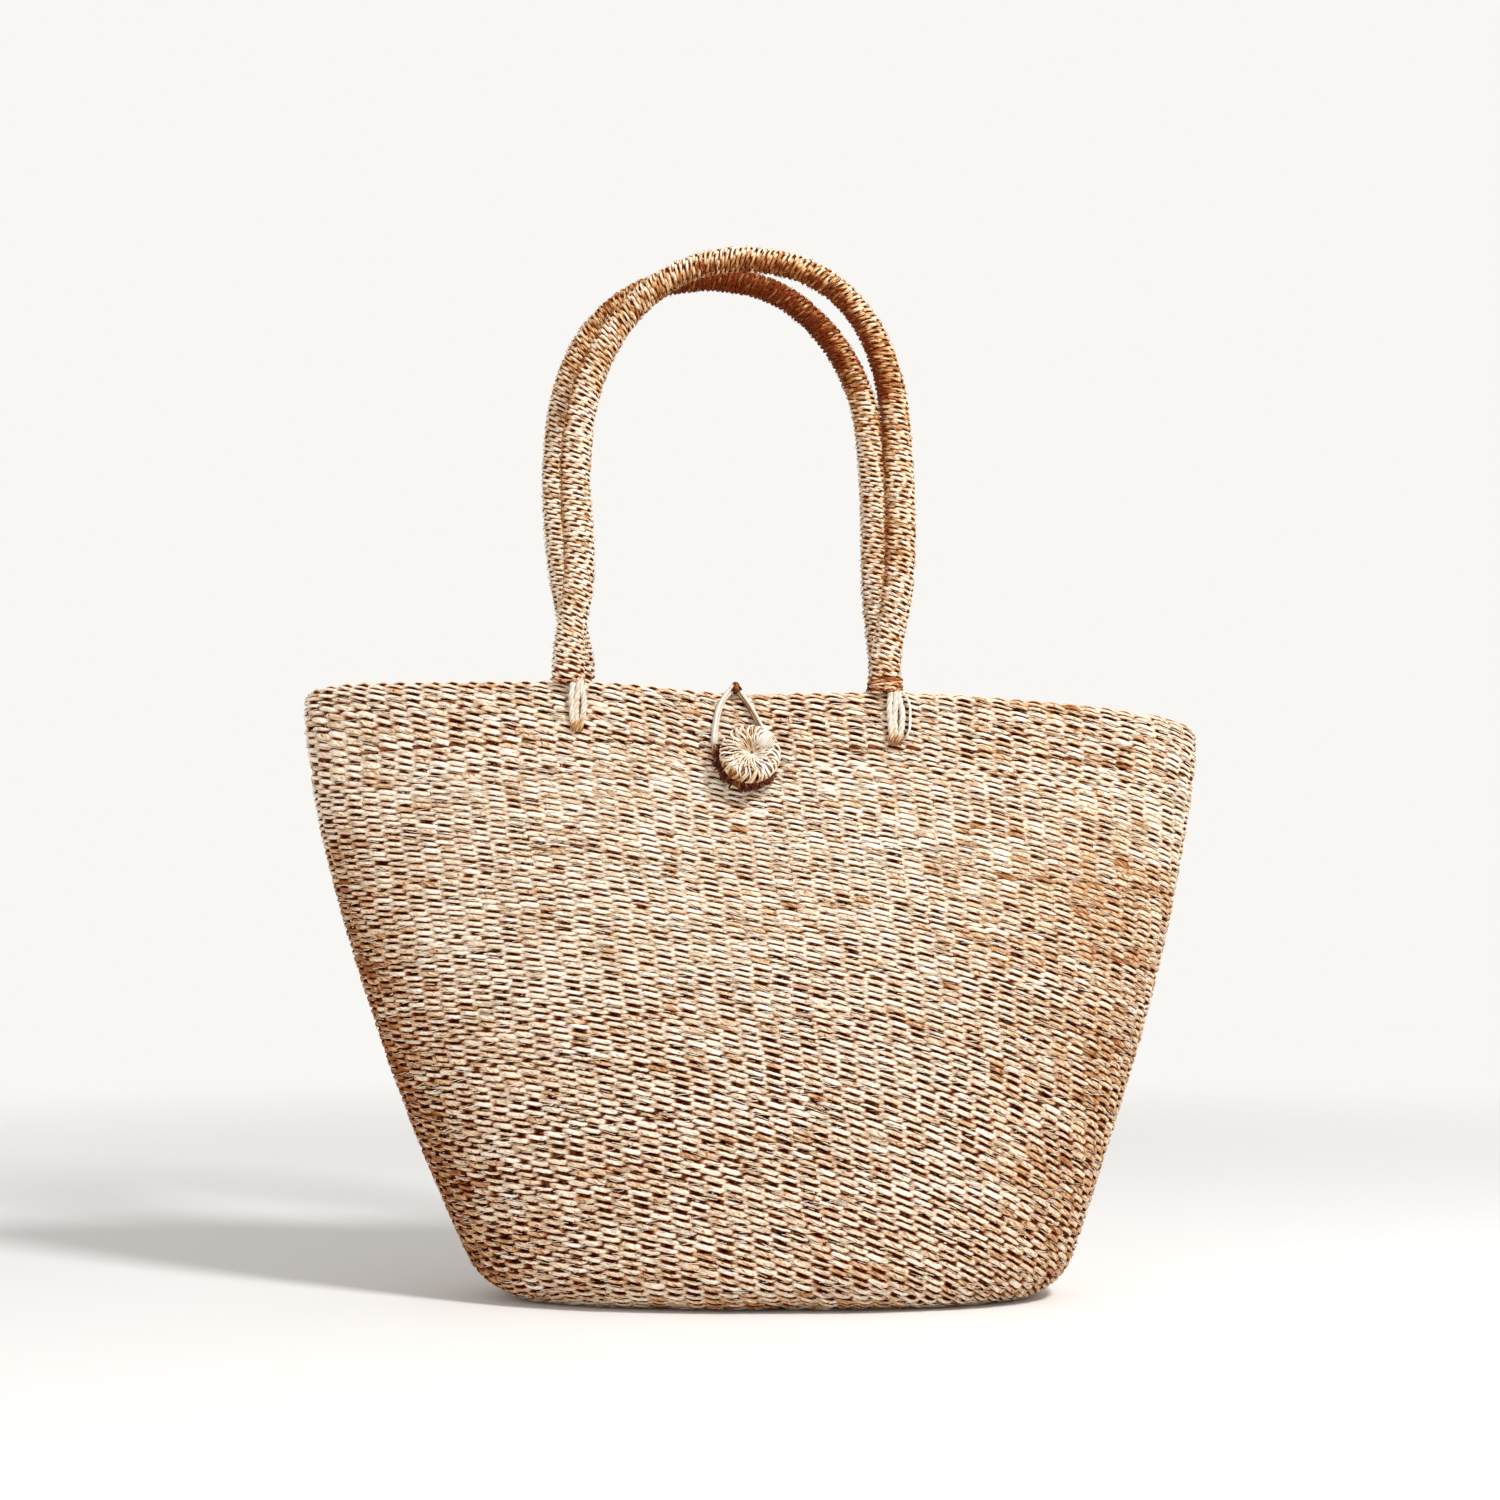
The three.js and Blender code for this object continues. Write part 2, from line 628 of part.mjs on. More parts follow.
// Route of the loop cord, from the neck down the left of the button, under its head and up the right
const LOOP_ROUTE = [
  [-8.4, -24.5, 298],
  [-8.5, -26.6, 297.7],
  [-9.2, -28.4, 296.7],
  [-10.5, -29.6, 295],
  [-12.5, -30.3, 292.4],
  [-14.3, -31.3, 289],
  [-15.5, -32.6, 285.2],
  [-16.3, -34.1, 281],
  [-16.8, -35.6, 276.3],
  [-17.1, -37.1, 271.5],
  [-16.8, -38.6, 266.5],
  [-15.6, -40.1, 261.3],
  [-13.2, -41.4, 256.5],
  [-9.4, -42.4, 252.6],
  [-4.8, -43.2, 249.9],
  [0.2, -43.4, 249],
  [5, -43, 250.5],
  [8.8, -41.9, 254.2],
  [10.8, -40.6, 259],
  [11.3, -39.1, 264],
  [10.3, -37.6, 269],
  [8.2, -36.1, 273.6],
  [5.6, -34.7, 277.8],
  [3.4, -33.3, 282],
  [1, -31.8, 286.5],
  [-1.3, -30.6, 290.2],
  [-3.3, -29.8, 292.9],
  [-4.6, -29.3, 294.8],
  [-5.2, -28.2, 296.5],
  [-5.5, -26.6, 297.7],
  [-5.6, -24.5, 298],
];

function buttonLoop() {
  return strand(LOOP_ROUTE.map((spot) => new THREE.Vector3(...spot)), LOOP_CORD_RADIUS, CORD_SIDES);
}

function loopNeck() {
  const { rear, front } = neckEnds();
  const along = front.clone().sub(rear).normalize();
  const across = new THREE.Vector3(1, 0, 0);
  const upward = new THREE.Vector3().crossVectors(along, across);
  const rings = [];
  for (let step = 0; step <= NECK_END_STEPS; step += 1) {
    const angle = (Math.PI / 2) * ((step + NECK_TIP) / (NECK_END_STEPS + NECK_TIP));
    const centre = rear.clone().addScaledVector(along, -NECK_RADIUS * Math.cos(angle));
    rings.push(sectionRing(centre, across, upward, NECK_RADIUS * Math.sin(angle), CORD_SIDES));
  }
  rings.push(sectionRing(front, across, upward, NECK_RADIUS, CORD_SIDES));
  return loft(rings);
}

// Assembly

const bag = new THREE.Group();
bag.add(piece('woven_wall', wovenWall(), 'body'));
bag.add(piece('woven_base', wovenBase(), 'body'));
bag.add(piece('hem_facing', hemFacing(), 'hem'));
bag.add(piece('hem_cord', hemCord(), 'core'));

for (const [end, arch] of [['front', FRONT_ARCH], ['rear', REAR_ARCH]]) {
  const left = FEET[`${end}_left`];
  const right = FEET[`${end}_right`];
  const curve = handleCurve(arch, left, right);
  bag.add(piece(`${end}_handle_core`, handleCore(curve, left, right), 'core'));
  bag.add(piece(`${end}_handle_wrap`, handleWrap(curve), 'handle'));
}

for (const [name, foot] of Object.entries(FEET)) {
  const points = lashingPoints(foot);
  const turnSteps = Math.round(points.length / LASHING_TURNS);
  console.log(`${name}_lashing least gap ${leastSelfGap(points, LASHING_RADIUS, turnSteps).toFixed(2)} mm`);
  bag.add(piece(`${name}_lashing`, strand(points, LASHING_RADIUS, STRAND_SIDES), 'pale'));
}

const button = buttonGroup();
button.add(piece('button_head', buttonHead(), 'pale'));
button.add(piece('button_shank', buttonShank(), 'core'));
button.add(piece('button_knot', buttonKnot(), 'core'));
bag.add(button);

bag.add(piece('loop_saddle', loopSaddle(), 'pale'));
bag.add(piece('loop_neck', loopNeck(), 'dark'));
bag.add(piece('button_loop', buttonLoop(), 'pale'));

export default bag;
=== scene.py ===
"""Banana fibre handbag: twined body with a turned-in hem, wound arch handles, rosette button and loop."""

import logging
import math
from dataclasses import dataclass
from enum import Enum

import bpy
import numpy as np
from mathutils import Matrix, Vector


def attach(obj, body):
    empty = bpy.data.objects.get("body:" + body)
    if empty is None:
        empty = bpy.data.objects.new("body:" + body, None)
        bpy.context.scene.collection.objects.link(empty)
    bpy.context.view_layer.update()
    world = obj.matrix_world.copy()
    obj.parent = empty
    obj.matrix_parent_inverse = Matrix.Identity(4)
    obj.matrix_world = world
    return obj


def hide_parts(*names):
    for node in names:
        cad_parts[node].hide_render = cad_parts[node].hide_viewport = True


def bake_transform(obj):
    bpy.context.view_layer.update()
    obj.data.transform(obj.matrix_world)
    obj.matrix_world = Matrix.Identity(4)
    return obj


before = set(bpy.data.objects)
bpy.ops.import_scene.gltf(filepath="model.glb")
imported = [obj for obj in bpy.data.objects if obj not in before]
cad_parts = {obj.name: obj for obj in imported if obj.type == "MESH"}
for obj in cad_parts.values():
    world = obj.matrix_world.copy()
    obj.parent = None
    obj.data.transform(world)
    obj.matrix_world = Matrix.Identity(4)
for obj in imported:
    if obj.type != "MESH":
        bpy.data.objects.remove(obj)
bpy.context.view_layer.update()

Array = np.ndarray
Amount = np.ndarray | float
Shade = tuple[int, int, int]
Spot = tuple[float, float, float]
Row = tuple[float, ...]
Term = "Value | float"

MM = 0.001
TURN = 2.0 * math.pi
SEED = 20417
STRAND_MAP = "Strand"
BAKE_MAP = "OFBake"
FOOT_GAP = 0.6
log = logging.getLogger("handbag")


class Body(str, Enum):
    """Moving bodies of the bag."""

    BASKET = "basket"
    FRONT_HANDLE = "front_handle"
    REAR_HANDLE = "rear_handle"
    NECK = "closing_neck"
    LOOP = "closing_loop"


class Slot(str, Enum):
    """Finishes named in the record."""

    WOVEN = "woven_fibre"
    HEM = "hem_fibre"
    HANDLE = "handle_fibre"
    CORE = "core_fibre"
    PALE = "pale_fibre"
    BUTTON = "button_fibre"
    BOUND = "bound_fibre"


def linear(shade: Shade) -> tuple[float, float, float, float]:
    """Turns a display colour into a scene-linear one.

    Args:
        shade: red, green and blue, from 0 to 255.

    Returns:
        Red, green, blue and alpha, from 0 to 1.
    """
    parts = []
    for part in shade:
        share = part / 255.0
        parts.append(share / 12.92 if share <= 0.04045 else ((share + 0.055) / 1.055) ** 2.4)
    return (*parts, 1.0)


def unit(vectors: Array) -> Array:
    """Scales vectors along the last axis to length one."""
    return vectors / np.maximum(np.linalg.norm(vectors, axis=-1, keepdims=True), 1e-9)


def square_to(along: Array, outward: Array) -> Array:
    """Unit directions square to a path, as near as can be to outward ones."""
    return unit(outward - along * np.sum(outward * along, axis=-1, keepdims=True))


def measure(path: Array) -> Array:
    """Distances along a path to each of its points."""
    return np.concatenate([[0.0], np.cumsum(np.linalg.norm(np.diff(path, axis=0), axis=1))])


def clipped(values: Amount) -> Array:
    """Keeps values from 0 to 1."""
    return np.clip(values, 0.0, 1.0)


def smoothstep(low: float, high: float, values: Amount) -> Array:
    """Eases values from 0 at low to 1 at high."""
    share = clipped((values - low) / (high - low))
    return share * share * (3.0 - 2.0 * share)


def hump(values: Amount, middle: float, reach: float) -> Array:
    """A smooth hump: 1 at the middle, and little left two reaches away."""
    return np.exp(-(((values - middle) / reach) ** 2))


class Value:
    """A number socket of a node tree, with arithmetic that adds Math nodes."""

    def __init__(self, tree: "Finisher", socket: bpy.types.NodeSocket) -> None:
        """Wraps one output socket of the tree."""
        self.tree = tree
        self.socket = socket

    def _math(self, operation: str, first: Term, second: Term) -> "Value":
        """Adds one Math node and returns its result."""
        made = self.tree.node("ShaderNodeMath", {"operation": operation}, {0: first, 1: second})
        return Value(self.tree, made.outputs[0])

    def __add__(self, other: Term) -> "Value":
        """Sum."""
        return self._math("ADD", self, other)

    __radd__ = __add__

    def __sub__(self, other: Term) -> "Value":
        """Difference."""
        return self._math("SUBTRACT", self, other)

    def __rsub__(self, other: Term) -> "Value":
        """Difference from a number."""
        return self._math("SUBTRACT", other, self)

    def __mul__(self, other: Term) -> "Value":
        """Product."""
        return self._math("MULTIPLY", self, other)

    __rmul__ = __mul__

    def ease(self, low: float, high: float, start: float = 0.0, stop: float = 1.0) -> "Value":
        """Eases the value.

        Args:
            low: where the easing starts.
            high: where it ends.
            start: the result at low.
            stop: the result at high.

        Returns:
            The eased value.
        """
        ends = {"From Min": low, "From Max": high, "To Min": start, "To Max": stop}
        made = self.tree.node(
            "ShaderNodeMapRange", {"interpolation_type": "SMOOTHSTEP"}, {"Value": self, **ends}
        )
        return Value(self.tree, made.outputs["Result"])


class Finisher:
    """Builds the nodes of one material or world."""

    def __init__(self, owner: bpy.types.Material | bpy.types.World) -> None:
        """Starts an empty node tree on the material or world."""
        owner.use_nodes = True
        self.nodes = owner.node_tree.nodes
        self.links = owner.node_tree.links
        self.nodes.clear()

    def node(self, kind: str, settings: dict | None = None, sockets: dict | None = None) -> bpy.types.Node:
        """Adds a node.

        Args:
            kind: the node's type name.
            settings: properties set first; "stops" fills a colour ramp with (position, colour) pairs.
            sockets: values or links for its input sockets, by name or number.

        Returns:
            The new node.
        """
        made = self.nodes.new(kind)
        for key, value in (settings or {}).items():
            if key == "stops":
                self._fill_ramp(made.color_ramp, value)
            else:
                setattr(made, key, value)
        for key, value in (sockets or {}).items():
            self._feed(made.inputs[key], value)
        return made

    def _feed(self, socket: bpy.types.NodeSocket, value: object) -> None:
        """Fills an input socket.

        Args:
            socket: the input.
            value: a Value or a socket to link, or the input's own number or colour.
        """
        if isinstance(value, Value):
            self.links.new(value.socket, socket)
        elif isinstance(value, bpy.types.NodeSocket):
            self.links.new(value, socket)
        else:
            socket.default_value = value

    @staticmethod
    def _fill_ramp(ramp: bpy.types.ColorRamp, stops: list) -> None:
        """Gives a ramp its stops.

        Args:
            ramp: the ramp.
            stops: (position, colour) pairs.
        """
        while len(ramp.elements) < len(stops):
            ramp.elements.new(1.0)
        for element, (position, colour) in zip(ramp.elements, stops, strict=True):
            element.position = position
            element.color = colour

    def attribute(self, name: str) -> Value:
        """A number stored on the mesh."""
        made = self.node("ShaderNodeAttribute", {"attribute_name": name})
        return Value(self, made.outputs["Fac"])

    def strand_noise(self, along: float, across: float, detail: float) -> Value:
        """Noise drawn out along the strands.

        Args:
            along: changes per metre along a strand.
            across: changes per metre round it.
            detail: octaves of finer noise.

        Returns:
            The noise, from 0 to 1.
        """
        uv = self.node("ShaderNodeUVMap", {"uv_map": STRAND_MAP}).outputs["UV"]
        spread = self.node(
            "ShaderNodeVectorMath", {"operation": "MULTIPLY"}, {0: uv, 1: (along, across, 1.0)}
        )
        noise = self.node(
            "ShaderNodeTexNoise",
            {"noise_dimensions": "2D"},
            {"Vector": spread.outputs[0], "Scale": 1.0, "Detail": detail},
        )
        return Value(self, noise.outputs["Fac"])

    def patch_noise(self, scale: float, detail: float) -> Value:
        """Noise in the piece's own space.

        Args:
            scale: changes per metre.
            detail: octaves of finer noise.

        Returns:
            The noise, from 0 to 1.
        """
        place = self.node("ShaderNodeTexCoord").outputs["Object"]
        noise = self.node("ShaderNodeTexNoise", {}, {"Vector": place, "Scale": scale, "Detail": detail})
        return Value(self, noise.outputs["Fac"])

    def ramp(self, factor: Value, stops: list) -> bpy.types.NodeSocket:
        """A colour read off a ramp."""
        return self.node("ShaderNodeValToRGB", {"stops": stops}, {"Fac": factor}).outputs["Color"]

    def mix(self, factor: Term, first: object, second: object) -> bpy.types.NodeSocket:
        """A blend of two colours."""
        made = self.node("ShaderNodeMix", {"data_type": "RGBA"}, {"Factor": factor, 6: first, 7: second})
        return made.outputs[2]

    def surface(self, sockets: dict) -> None:
        """Ends a material in a Principled shader with these sockets."""
        shader = self.node("ShaderNodeBsdfPrincipled", {}, sockets)
        self.node("ShaderNodeOutputMaterial", {}, {"Surface": shader.outputs["BSDF"]})


@dataclass(frozen=True)
class Finish:
    """A finish that is ready for use: its material and its slot in the record."""

    material: bpy.types.Material
    slot: Slot


@dataclass(frozen=True)
class FibreFinish:
    """A plant fibre: dark to pale shades, two colours that paint shade in crevices, streaks, specks and
    relief.
    """

    name: str
    slot: Slot
    dark: Shade
    mid: Shade
    light: Shade
    pale: Shade
    # The last two colours paint shade: a reddish half-shadow and the colour of deep crevices.
    warm_shadow: Shade
    crevice: Shade
    speck_share: float = 0.42
    gold_share: float = 0.4
    gold: Shade = (214, 168, 104)
    mid_stop: float = 0.34
    light_stop: float = 0.62
    streak_along: float = 140.0
    streak_across: float = 1100.0
    streak_share: float = 1.35
    patch_scale: float = 38.0
    patch_share: float = 0.3
    relief: float = 0.6
    relief_height: float = 0.0006
    roughness: float = 0.72
    rough_share: float = 0.22
    specular: float = 0.1

    def ready(self) -> Finish:
        """Makes the material and keeps it with its slot.

        Returns:
            The finish, ready for use.
        """
        material = bpy.data.materials.new(self.name)
        made = Finisher(material)
        tone = made.attribute("tone")
        depth = made.attribute("depth")
        streak = made.strand_noise(self.streak_along, self.streak_across, 3.0)
        fine = made.strand_noise(self.streak_along * 2.2, self.streak_across * 2.4, 2.0)
        patch = made.patch_noise(self.patch_scale, 2.0)
        speck = made.strand_noise(420.0, 900.0, 1.0).ease(0.6, 0.72) * self.speck_share
        shade = tone + (streak - 0.5) * self.streak_share + (patch - 0.5) * self.patch_share - speck
        places = (0.0, self.mid_stop, self.light_stop, 1.0)
        shades = (linear(part) for part in (self.dark, self.mid, self.light, self.pale))
        fibre = made.ramp(shade, list(zip(places, shades, strict=True)))
        golden = made.strand_noise(95.0, 420.0, 2.0).ease(0.55, 0.75) * self.gold_share
        fibre = made.mix(golden, fibre, linear(self.gold))
        # Painted shade: where the mesh's depth is low, the fibre gives way to the reddish shadow colour, and
        # to the crevice colour deeper in.
        shadow = made.mix(depth.ease(0.0, 0.5), linear(self.crevice), linear(self.warm_shadow))
        height = streak * 0.6 + fine * 0.4
        bump = made.node(
            "ShaderNodeBump",
            {},
            {"Strength": self.relief, "Distance": self.relief_height, "Height": height},
        )
        made.surface(
            {
                "Base Color": made.mix(depth.ease(0.3, 0.95), shadow, fibre),
                "Roughness": self.roughness + (0.5 - streak) * self.rough_share,
                "Specular IOR Level": self.specular,
                "Normal": bump.outputs["Normal"],
            }
        )
        return Finish(material, self.slot)


class Finishes:
    """The finishes of the bag, each made once: dark, mid, light and pale shades, then a reddish colour and a
    crevice colour that paint shade.
    """

    def __init__(self) -> None:
        """Makes every finish."""
        # In each finish the last two colours are painted shade: the reddish half-shadow, then the crevice.
        straw = ((140, 78, 36), (206, 165, 120), (233, 213, 186), (249, 241, 226), (156, 84, 34))
        self.woven = FibreFinish("woven_straw", Slot.WOVEN, *straw, (84, 22, 2)).ready()
        self.hem = FibreFinish("hem_straw", Slot.HEM, *straw, (88, 26, 3)).ready()
        # Darker than the straw: a shaded copy, so that the warps paint the shade in the gaps between rows.
        self.warp = FibreFinish(
            "shaded_warp_fibre", Slot.CORE,
            (84, 42, 20), (128, 78, 44), (164, 112, 70), (190, 142, 98), (112, 60, 28), (52, 20, 8),
        ).ready()
        self.handle = FibreFinish(
            "handle_straw", Slot.HANDLE,
            (106, 36, 6), (188, 130, 74), (227, 196, 154), (251, 241, 223), (158, 82, 26), (88, 28, 3),
        ).ready()
        self.core = FibreFinish(
            "raw_brown_fibre", Slot.CORE,
            (78, 30, 12), (140, 72, 30), (196, 126, 78), (238, 204, 166), (120, 58, 24), (58, 22, 10),
        ).ready()
        self.pale = FibreFinish(
            "pale_cord", Slot.PALE,
            (104, 44, 14), (196, 144, 84), (222, 213, 197), (234, 233, 230), (200, 168, 128), (112, 68, 38),
            speck_share=0.24, gold_share=0.2,
        ).ready()
        self.button = FibreFinish(
            "rosette_fibre", Slot.BUTTON,
            (128, 66, 26), (206, 162, 114), (236, 219, 193), (252, 248, 239), (156, 94, 42), (78, 32, 8),
            speck_share=0.3, gold_share=0.15,
        ).ready()
        self.bound = FibreFinish(
            "bound_brown_fibre", Slot.BOUND,
            (56, 18, 8), (104, 44, 18), (150, 74, 34), (184, 112, 62), (92, 36, 14), (44, 14, 6),
        ).ready()


class Bundle:
    """Gathers strands of one finish into one mesh, with tone, depth and strand maps; depth is how open a
    place lies, and the finish paints low depth as shade.
    """

    strip_shift: float = 0.37
    bake_pad: float = 0.12
    bake_edge: float = 0.002

    def __init__(self, sides: int = 6, folds: int = 1, twist: float = 0.0) -> None:
        """Starts an empty bundle.

        Args:
            sides: corners of a strand's section.
            folds: parts that each strand's map is folded into.
            twist: slant of the fibres along a strand, as rise over run.
        """
        self.sides = sides
        self.folds = folds
        self.twist = twist
        self.corners = TURN * np.arange(sides) / sides
        self.count = 0
        self.strips = 0
        self.points: list[Array] = []
        self.tone: list[Array] = []
        self.depth: list[Array] = []
        self.quads: list[Array] = []
        self.strand_uv: list[Array] = []
        self.bake_cells: list[Array] = []
        self.caps: list[Array] = []

    def flanks(self, dark: float, face: float) -> Array:
        """Depths of a section's corners, for painted shade: dark on its two flanks, another value on its
        faces.
        """
        return np.where(np.abs(np.sin(self.corners)) < 0.3, dark, face)[None, :]

    def strand(
        self,
        path: Array,
        outward: Array,
        half_width: Amount,
        half_thick: Amount,
        tone: Amount,
        depth: Amount = 1.0,
        closed: bool = False,
    ) -> None:
        """Adds one strand.

        Args:
            path: centres in millimetres.
            outward: the way that the strand's flat face looks, for all or at each centre.
            half_width: half its size along the surface.
            half_thick: half its size away from the surface.
            tone: from 0, dark, to 1, pale.
            depth: from 0 in a crevice to 1 in the open, per centre or per corner; low depth is painted as
                shade.
            closed: whether its ends meet.
        """
        stations = len(path)
        along = np.roll(path, -1, 0) - np.roll(path, 1, 0) if closed else np.gradient(path, axis=0)
        along = unit(along)
        facing = square_to(along, outward)
        across = np.cross(along, facing)
        wide = np.broadcast_to(half_width, (stations,))[:, None, None]
        thick = np.broadcast_to(half_thick, (stations,))[:, None, None]
        ring = (
            path[:, None, :]
            + across[:, None, :] * wide * np.cos(self.corners)[None, :, None]
            + facing[:, None, :] * thick * np.sin(self.corners)[None, :, None]
        )
        self.points.append(ring.reshape(-1, 3))
        self.tone.append(np.repeat(np.broadcast_to(tone, (stations,)), self.sides))
        shown = np.asarray(depth, float)
        shown = shown if shown.ndim == 2 else np.broadcast_to(shown, (stations,))[:, None]
        self.depth.append(np.broadcast_to(shown, (stations, self.sides)).ravel())
        self._faces(path, closed, float(np.mean(wide) + np.mean(thick)))
        self.count += stations * self.sides

    def _faces(self, path: Array, closed: bool, girth: float) -> None:
        """Adds the faces and maps of the strand whose points were added last.

        Args:
            path: its centres.
            closed: whether its ends meet.
            girth: half its width and half its thickness together.
        """
        stations, sides = len(path), self.sides
        spans = stations if closed else stations - 1
        here = np.arange(spans)[:, None]
        after = (here + 1) % stations
        side = np.arange(sides)[None, :]
        turn = (side + 1) % sides
        quad = [here * sides + side, after * sides + side, after * sides + turn, here * sides + turn]
        self.quads.append(np.stack(quad, -1).reshape(-1, 4) + self.count)
        length = measure(path)
        last = length[-1] + (length[-1] / max(stations - 1, 1) if closed else 0.0)
        ends = np.append(length, last)[1 : spans + 1]
        rounds = (corner / sides * girth * math.pi for corner in (side, side + 1))
        low, high, near, far = np.broadcast_arrays(length[:spans, None], ends[:, None], *rounds)
        places = ((low, near), (high, near), (high, far), (low, far))
        uv = np.stack([np.stack((run, around + run * self.twist), -1) for run, around in places], -2)
        lane = np.array([0.0, self.strips * self.strip_shift * MM * 10.0])
        self.strand_uv.append((uv * MM + lane).reshape(-1, 4, 2))
        self._bake_strip(spans)
        if not closed:
            ring = np.arange(sides)
            self.caps.append(ring + self.count)
            self.caps.append((stations - 1) * sides + ring[::-1] + self.count)

    def _bake_strip(self, spans: int) -> None:
        """Notes where each face of a strand lies in its folded strip.

        Args:
            spans: how many spans the strand has.
        """
        step = np.arange(spans)
        side = np.arange(self.sides)[None, :]
        fold = np.minimum(step * self.folds // spans, self.folds - 1)
        first = np.array([np.argmax(fold == part) for part in range(self.folds)])[fold]
        size = np.array([max(np.sum(fold == part), 1) for part in range(self.folds)])[fold]
        ends = [((place - first) / size)[:, None] for place in (step, step + 1)]
        sides = [corner / self.sides for corner in (side, side + 1)]
        cells = np.broadcast_arrays(*ends, *sides, (fold + self.strips)[:, None])
        self.bake_cells.append(np.stack(cells, -1).reshape(-1, 5))
        self.strips += self.folds

    def _bake_map(self) -> Array:
        """Lays every strip in its own row of the unit square.

        Returns:
            The map's corners, face by face.
        """
        start, stop, near, far, strip = np.concatenate(self.bake_cells).T
        left, right = (self.bake_edge + end * (1.0 - 2.0 * self.bake_edge) for end in (start, stop))
        room = 1.0 - 2.0 * self.bake_pad
        low, high = ((strip + self.bake_pad + side * room) / self.strips for side in (near, far))
        corners = ((left, low), (right, low), (right, high), (left, high))
        return np.stack([np.stack(pair, -1) for pair in corners], -2)

    def build(self, name: str, finish: Finish) -> bpy.types.Object:
        """Makes the mesh object.

        Args:
            name: the piece's name.
            finish: its finish.

        Returns:
            The new object, linked to the scene.
        """
        points = np.concatenate(self.points) * MM
        quads = np.concatenate(self.quads)
        caps = np.array(self.caps, int).reshape(-1, self.sides)
        corners = np.concatenate([quads.ravel(), caps.ravel()])
        cap_starts = len(quads) * 4 + np.arange(len(caps)) * self.sides
        starts = np.concatenate([np.arange(len(quads)) * 4, cap_starts])
        mesh = bpy.data.meshes.new(name)
        mesh.vertices.add(len(points))
        mesh.vertices.foreach_set("co", points.astype(np.float32).ravel())
        mesh.loops.add(len(corners))
        mesh.loops.foreach_set("vertex_index", corners.astype(np.int32))
        mesh.polygons.add(len(starts))
        mesh.polygons.foreach_set("loop_start", starts.astype(np.int32))
        mesh.update(calc_edges=True)
        mesh.polygons.foreach_set("use_smooth", np.ones(len(starts), bool))
        for label, parts in (("tone", self.tone), ("depth", self.depth)):
            stored = mesh.attributes.new(label, "FLOAT", "POINT")
            stored.data.foreach_set("value", np.concatenate(parts).astype(np.float32))
        cap_uv = np.zeros((caps.size, 2))
        for label, cells in ((STRAND_MAP, np.concatenate(self.strand_uv)), (BAKE_MAP, self._bake_map())):
            layer = mesh.uv_layers.new(name=label)
            flat = np.concatenate([cells.reshape(-1, 2), cap_uv])
            layer.data.foreach_set("uv", flat.astype(np.float32).ravel())
        mesh.materials.append(finish.material)
        mesh.validate()
        piece = bpy.data.objects.new(name, mesh)
        bpy.context.scene.collection.objects.link(piece)
        return piece

    def settle(self, name: str, finish: Finish, body: Body, *stands_for: str) -> bpy.types.Object:
        """Makes the piece, puts it on its body and dresses it.

        Args:
            name: the piece's name.
            finish: its finish.
            body: the body that it moves with.
            stands_for: the solids that it replaces.

        Returns:
            The new object.
        """
        piece = self.build(name, finish)
        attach(piece, body.value)
        dress(piece, finish, *stands_for)
        return piece


def dress(piece: bpy.types.Object, finish: Finish, *stands_for: str) -> None:
    """Hides the solids that a piece replaces, and logs its faces and slot.

    Args:
        piece: the piece.
        finish: its finish.
        stands_for: the solids that it replaces.
    """
    if stands_for:
        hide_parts(*stands_for)
    log.info("%s: %d faces, %s", piece.name, len(piece.data.polygons), finish.slot.value)


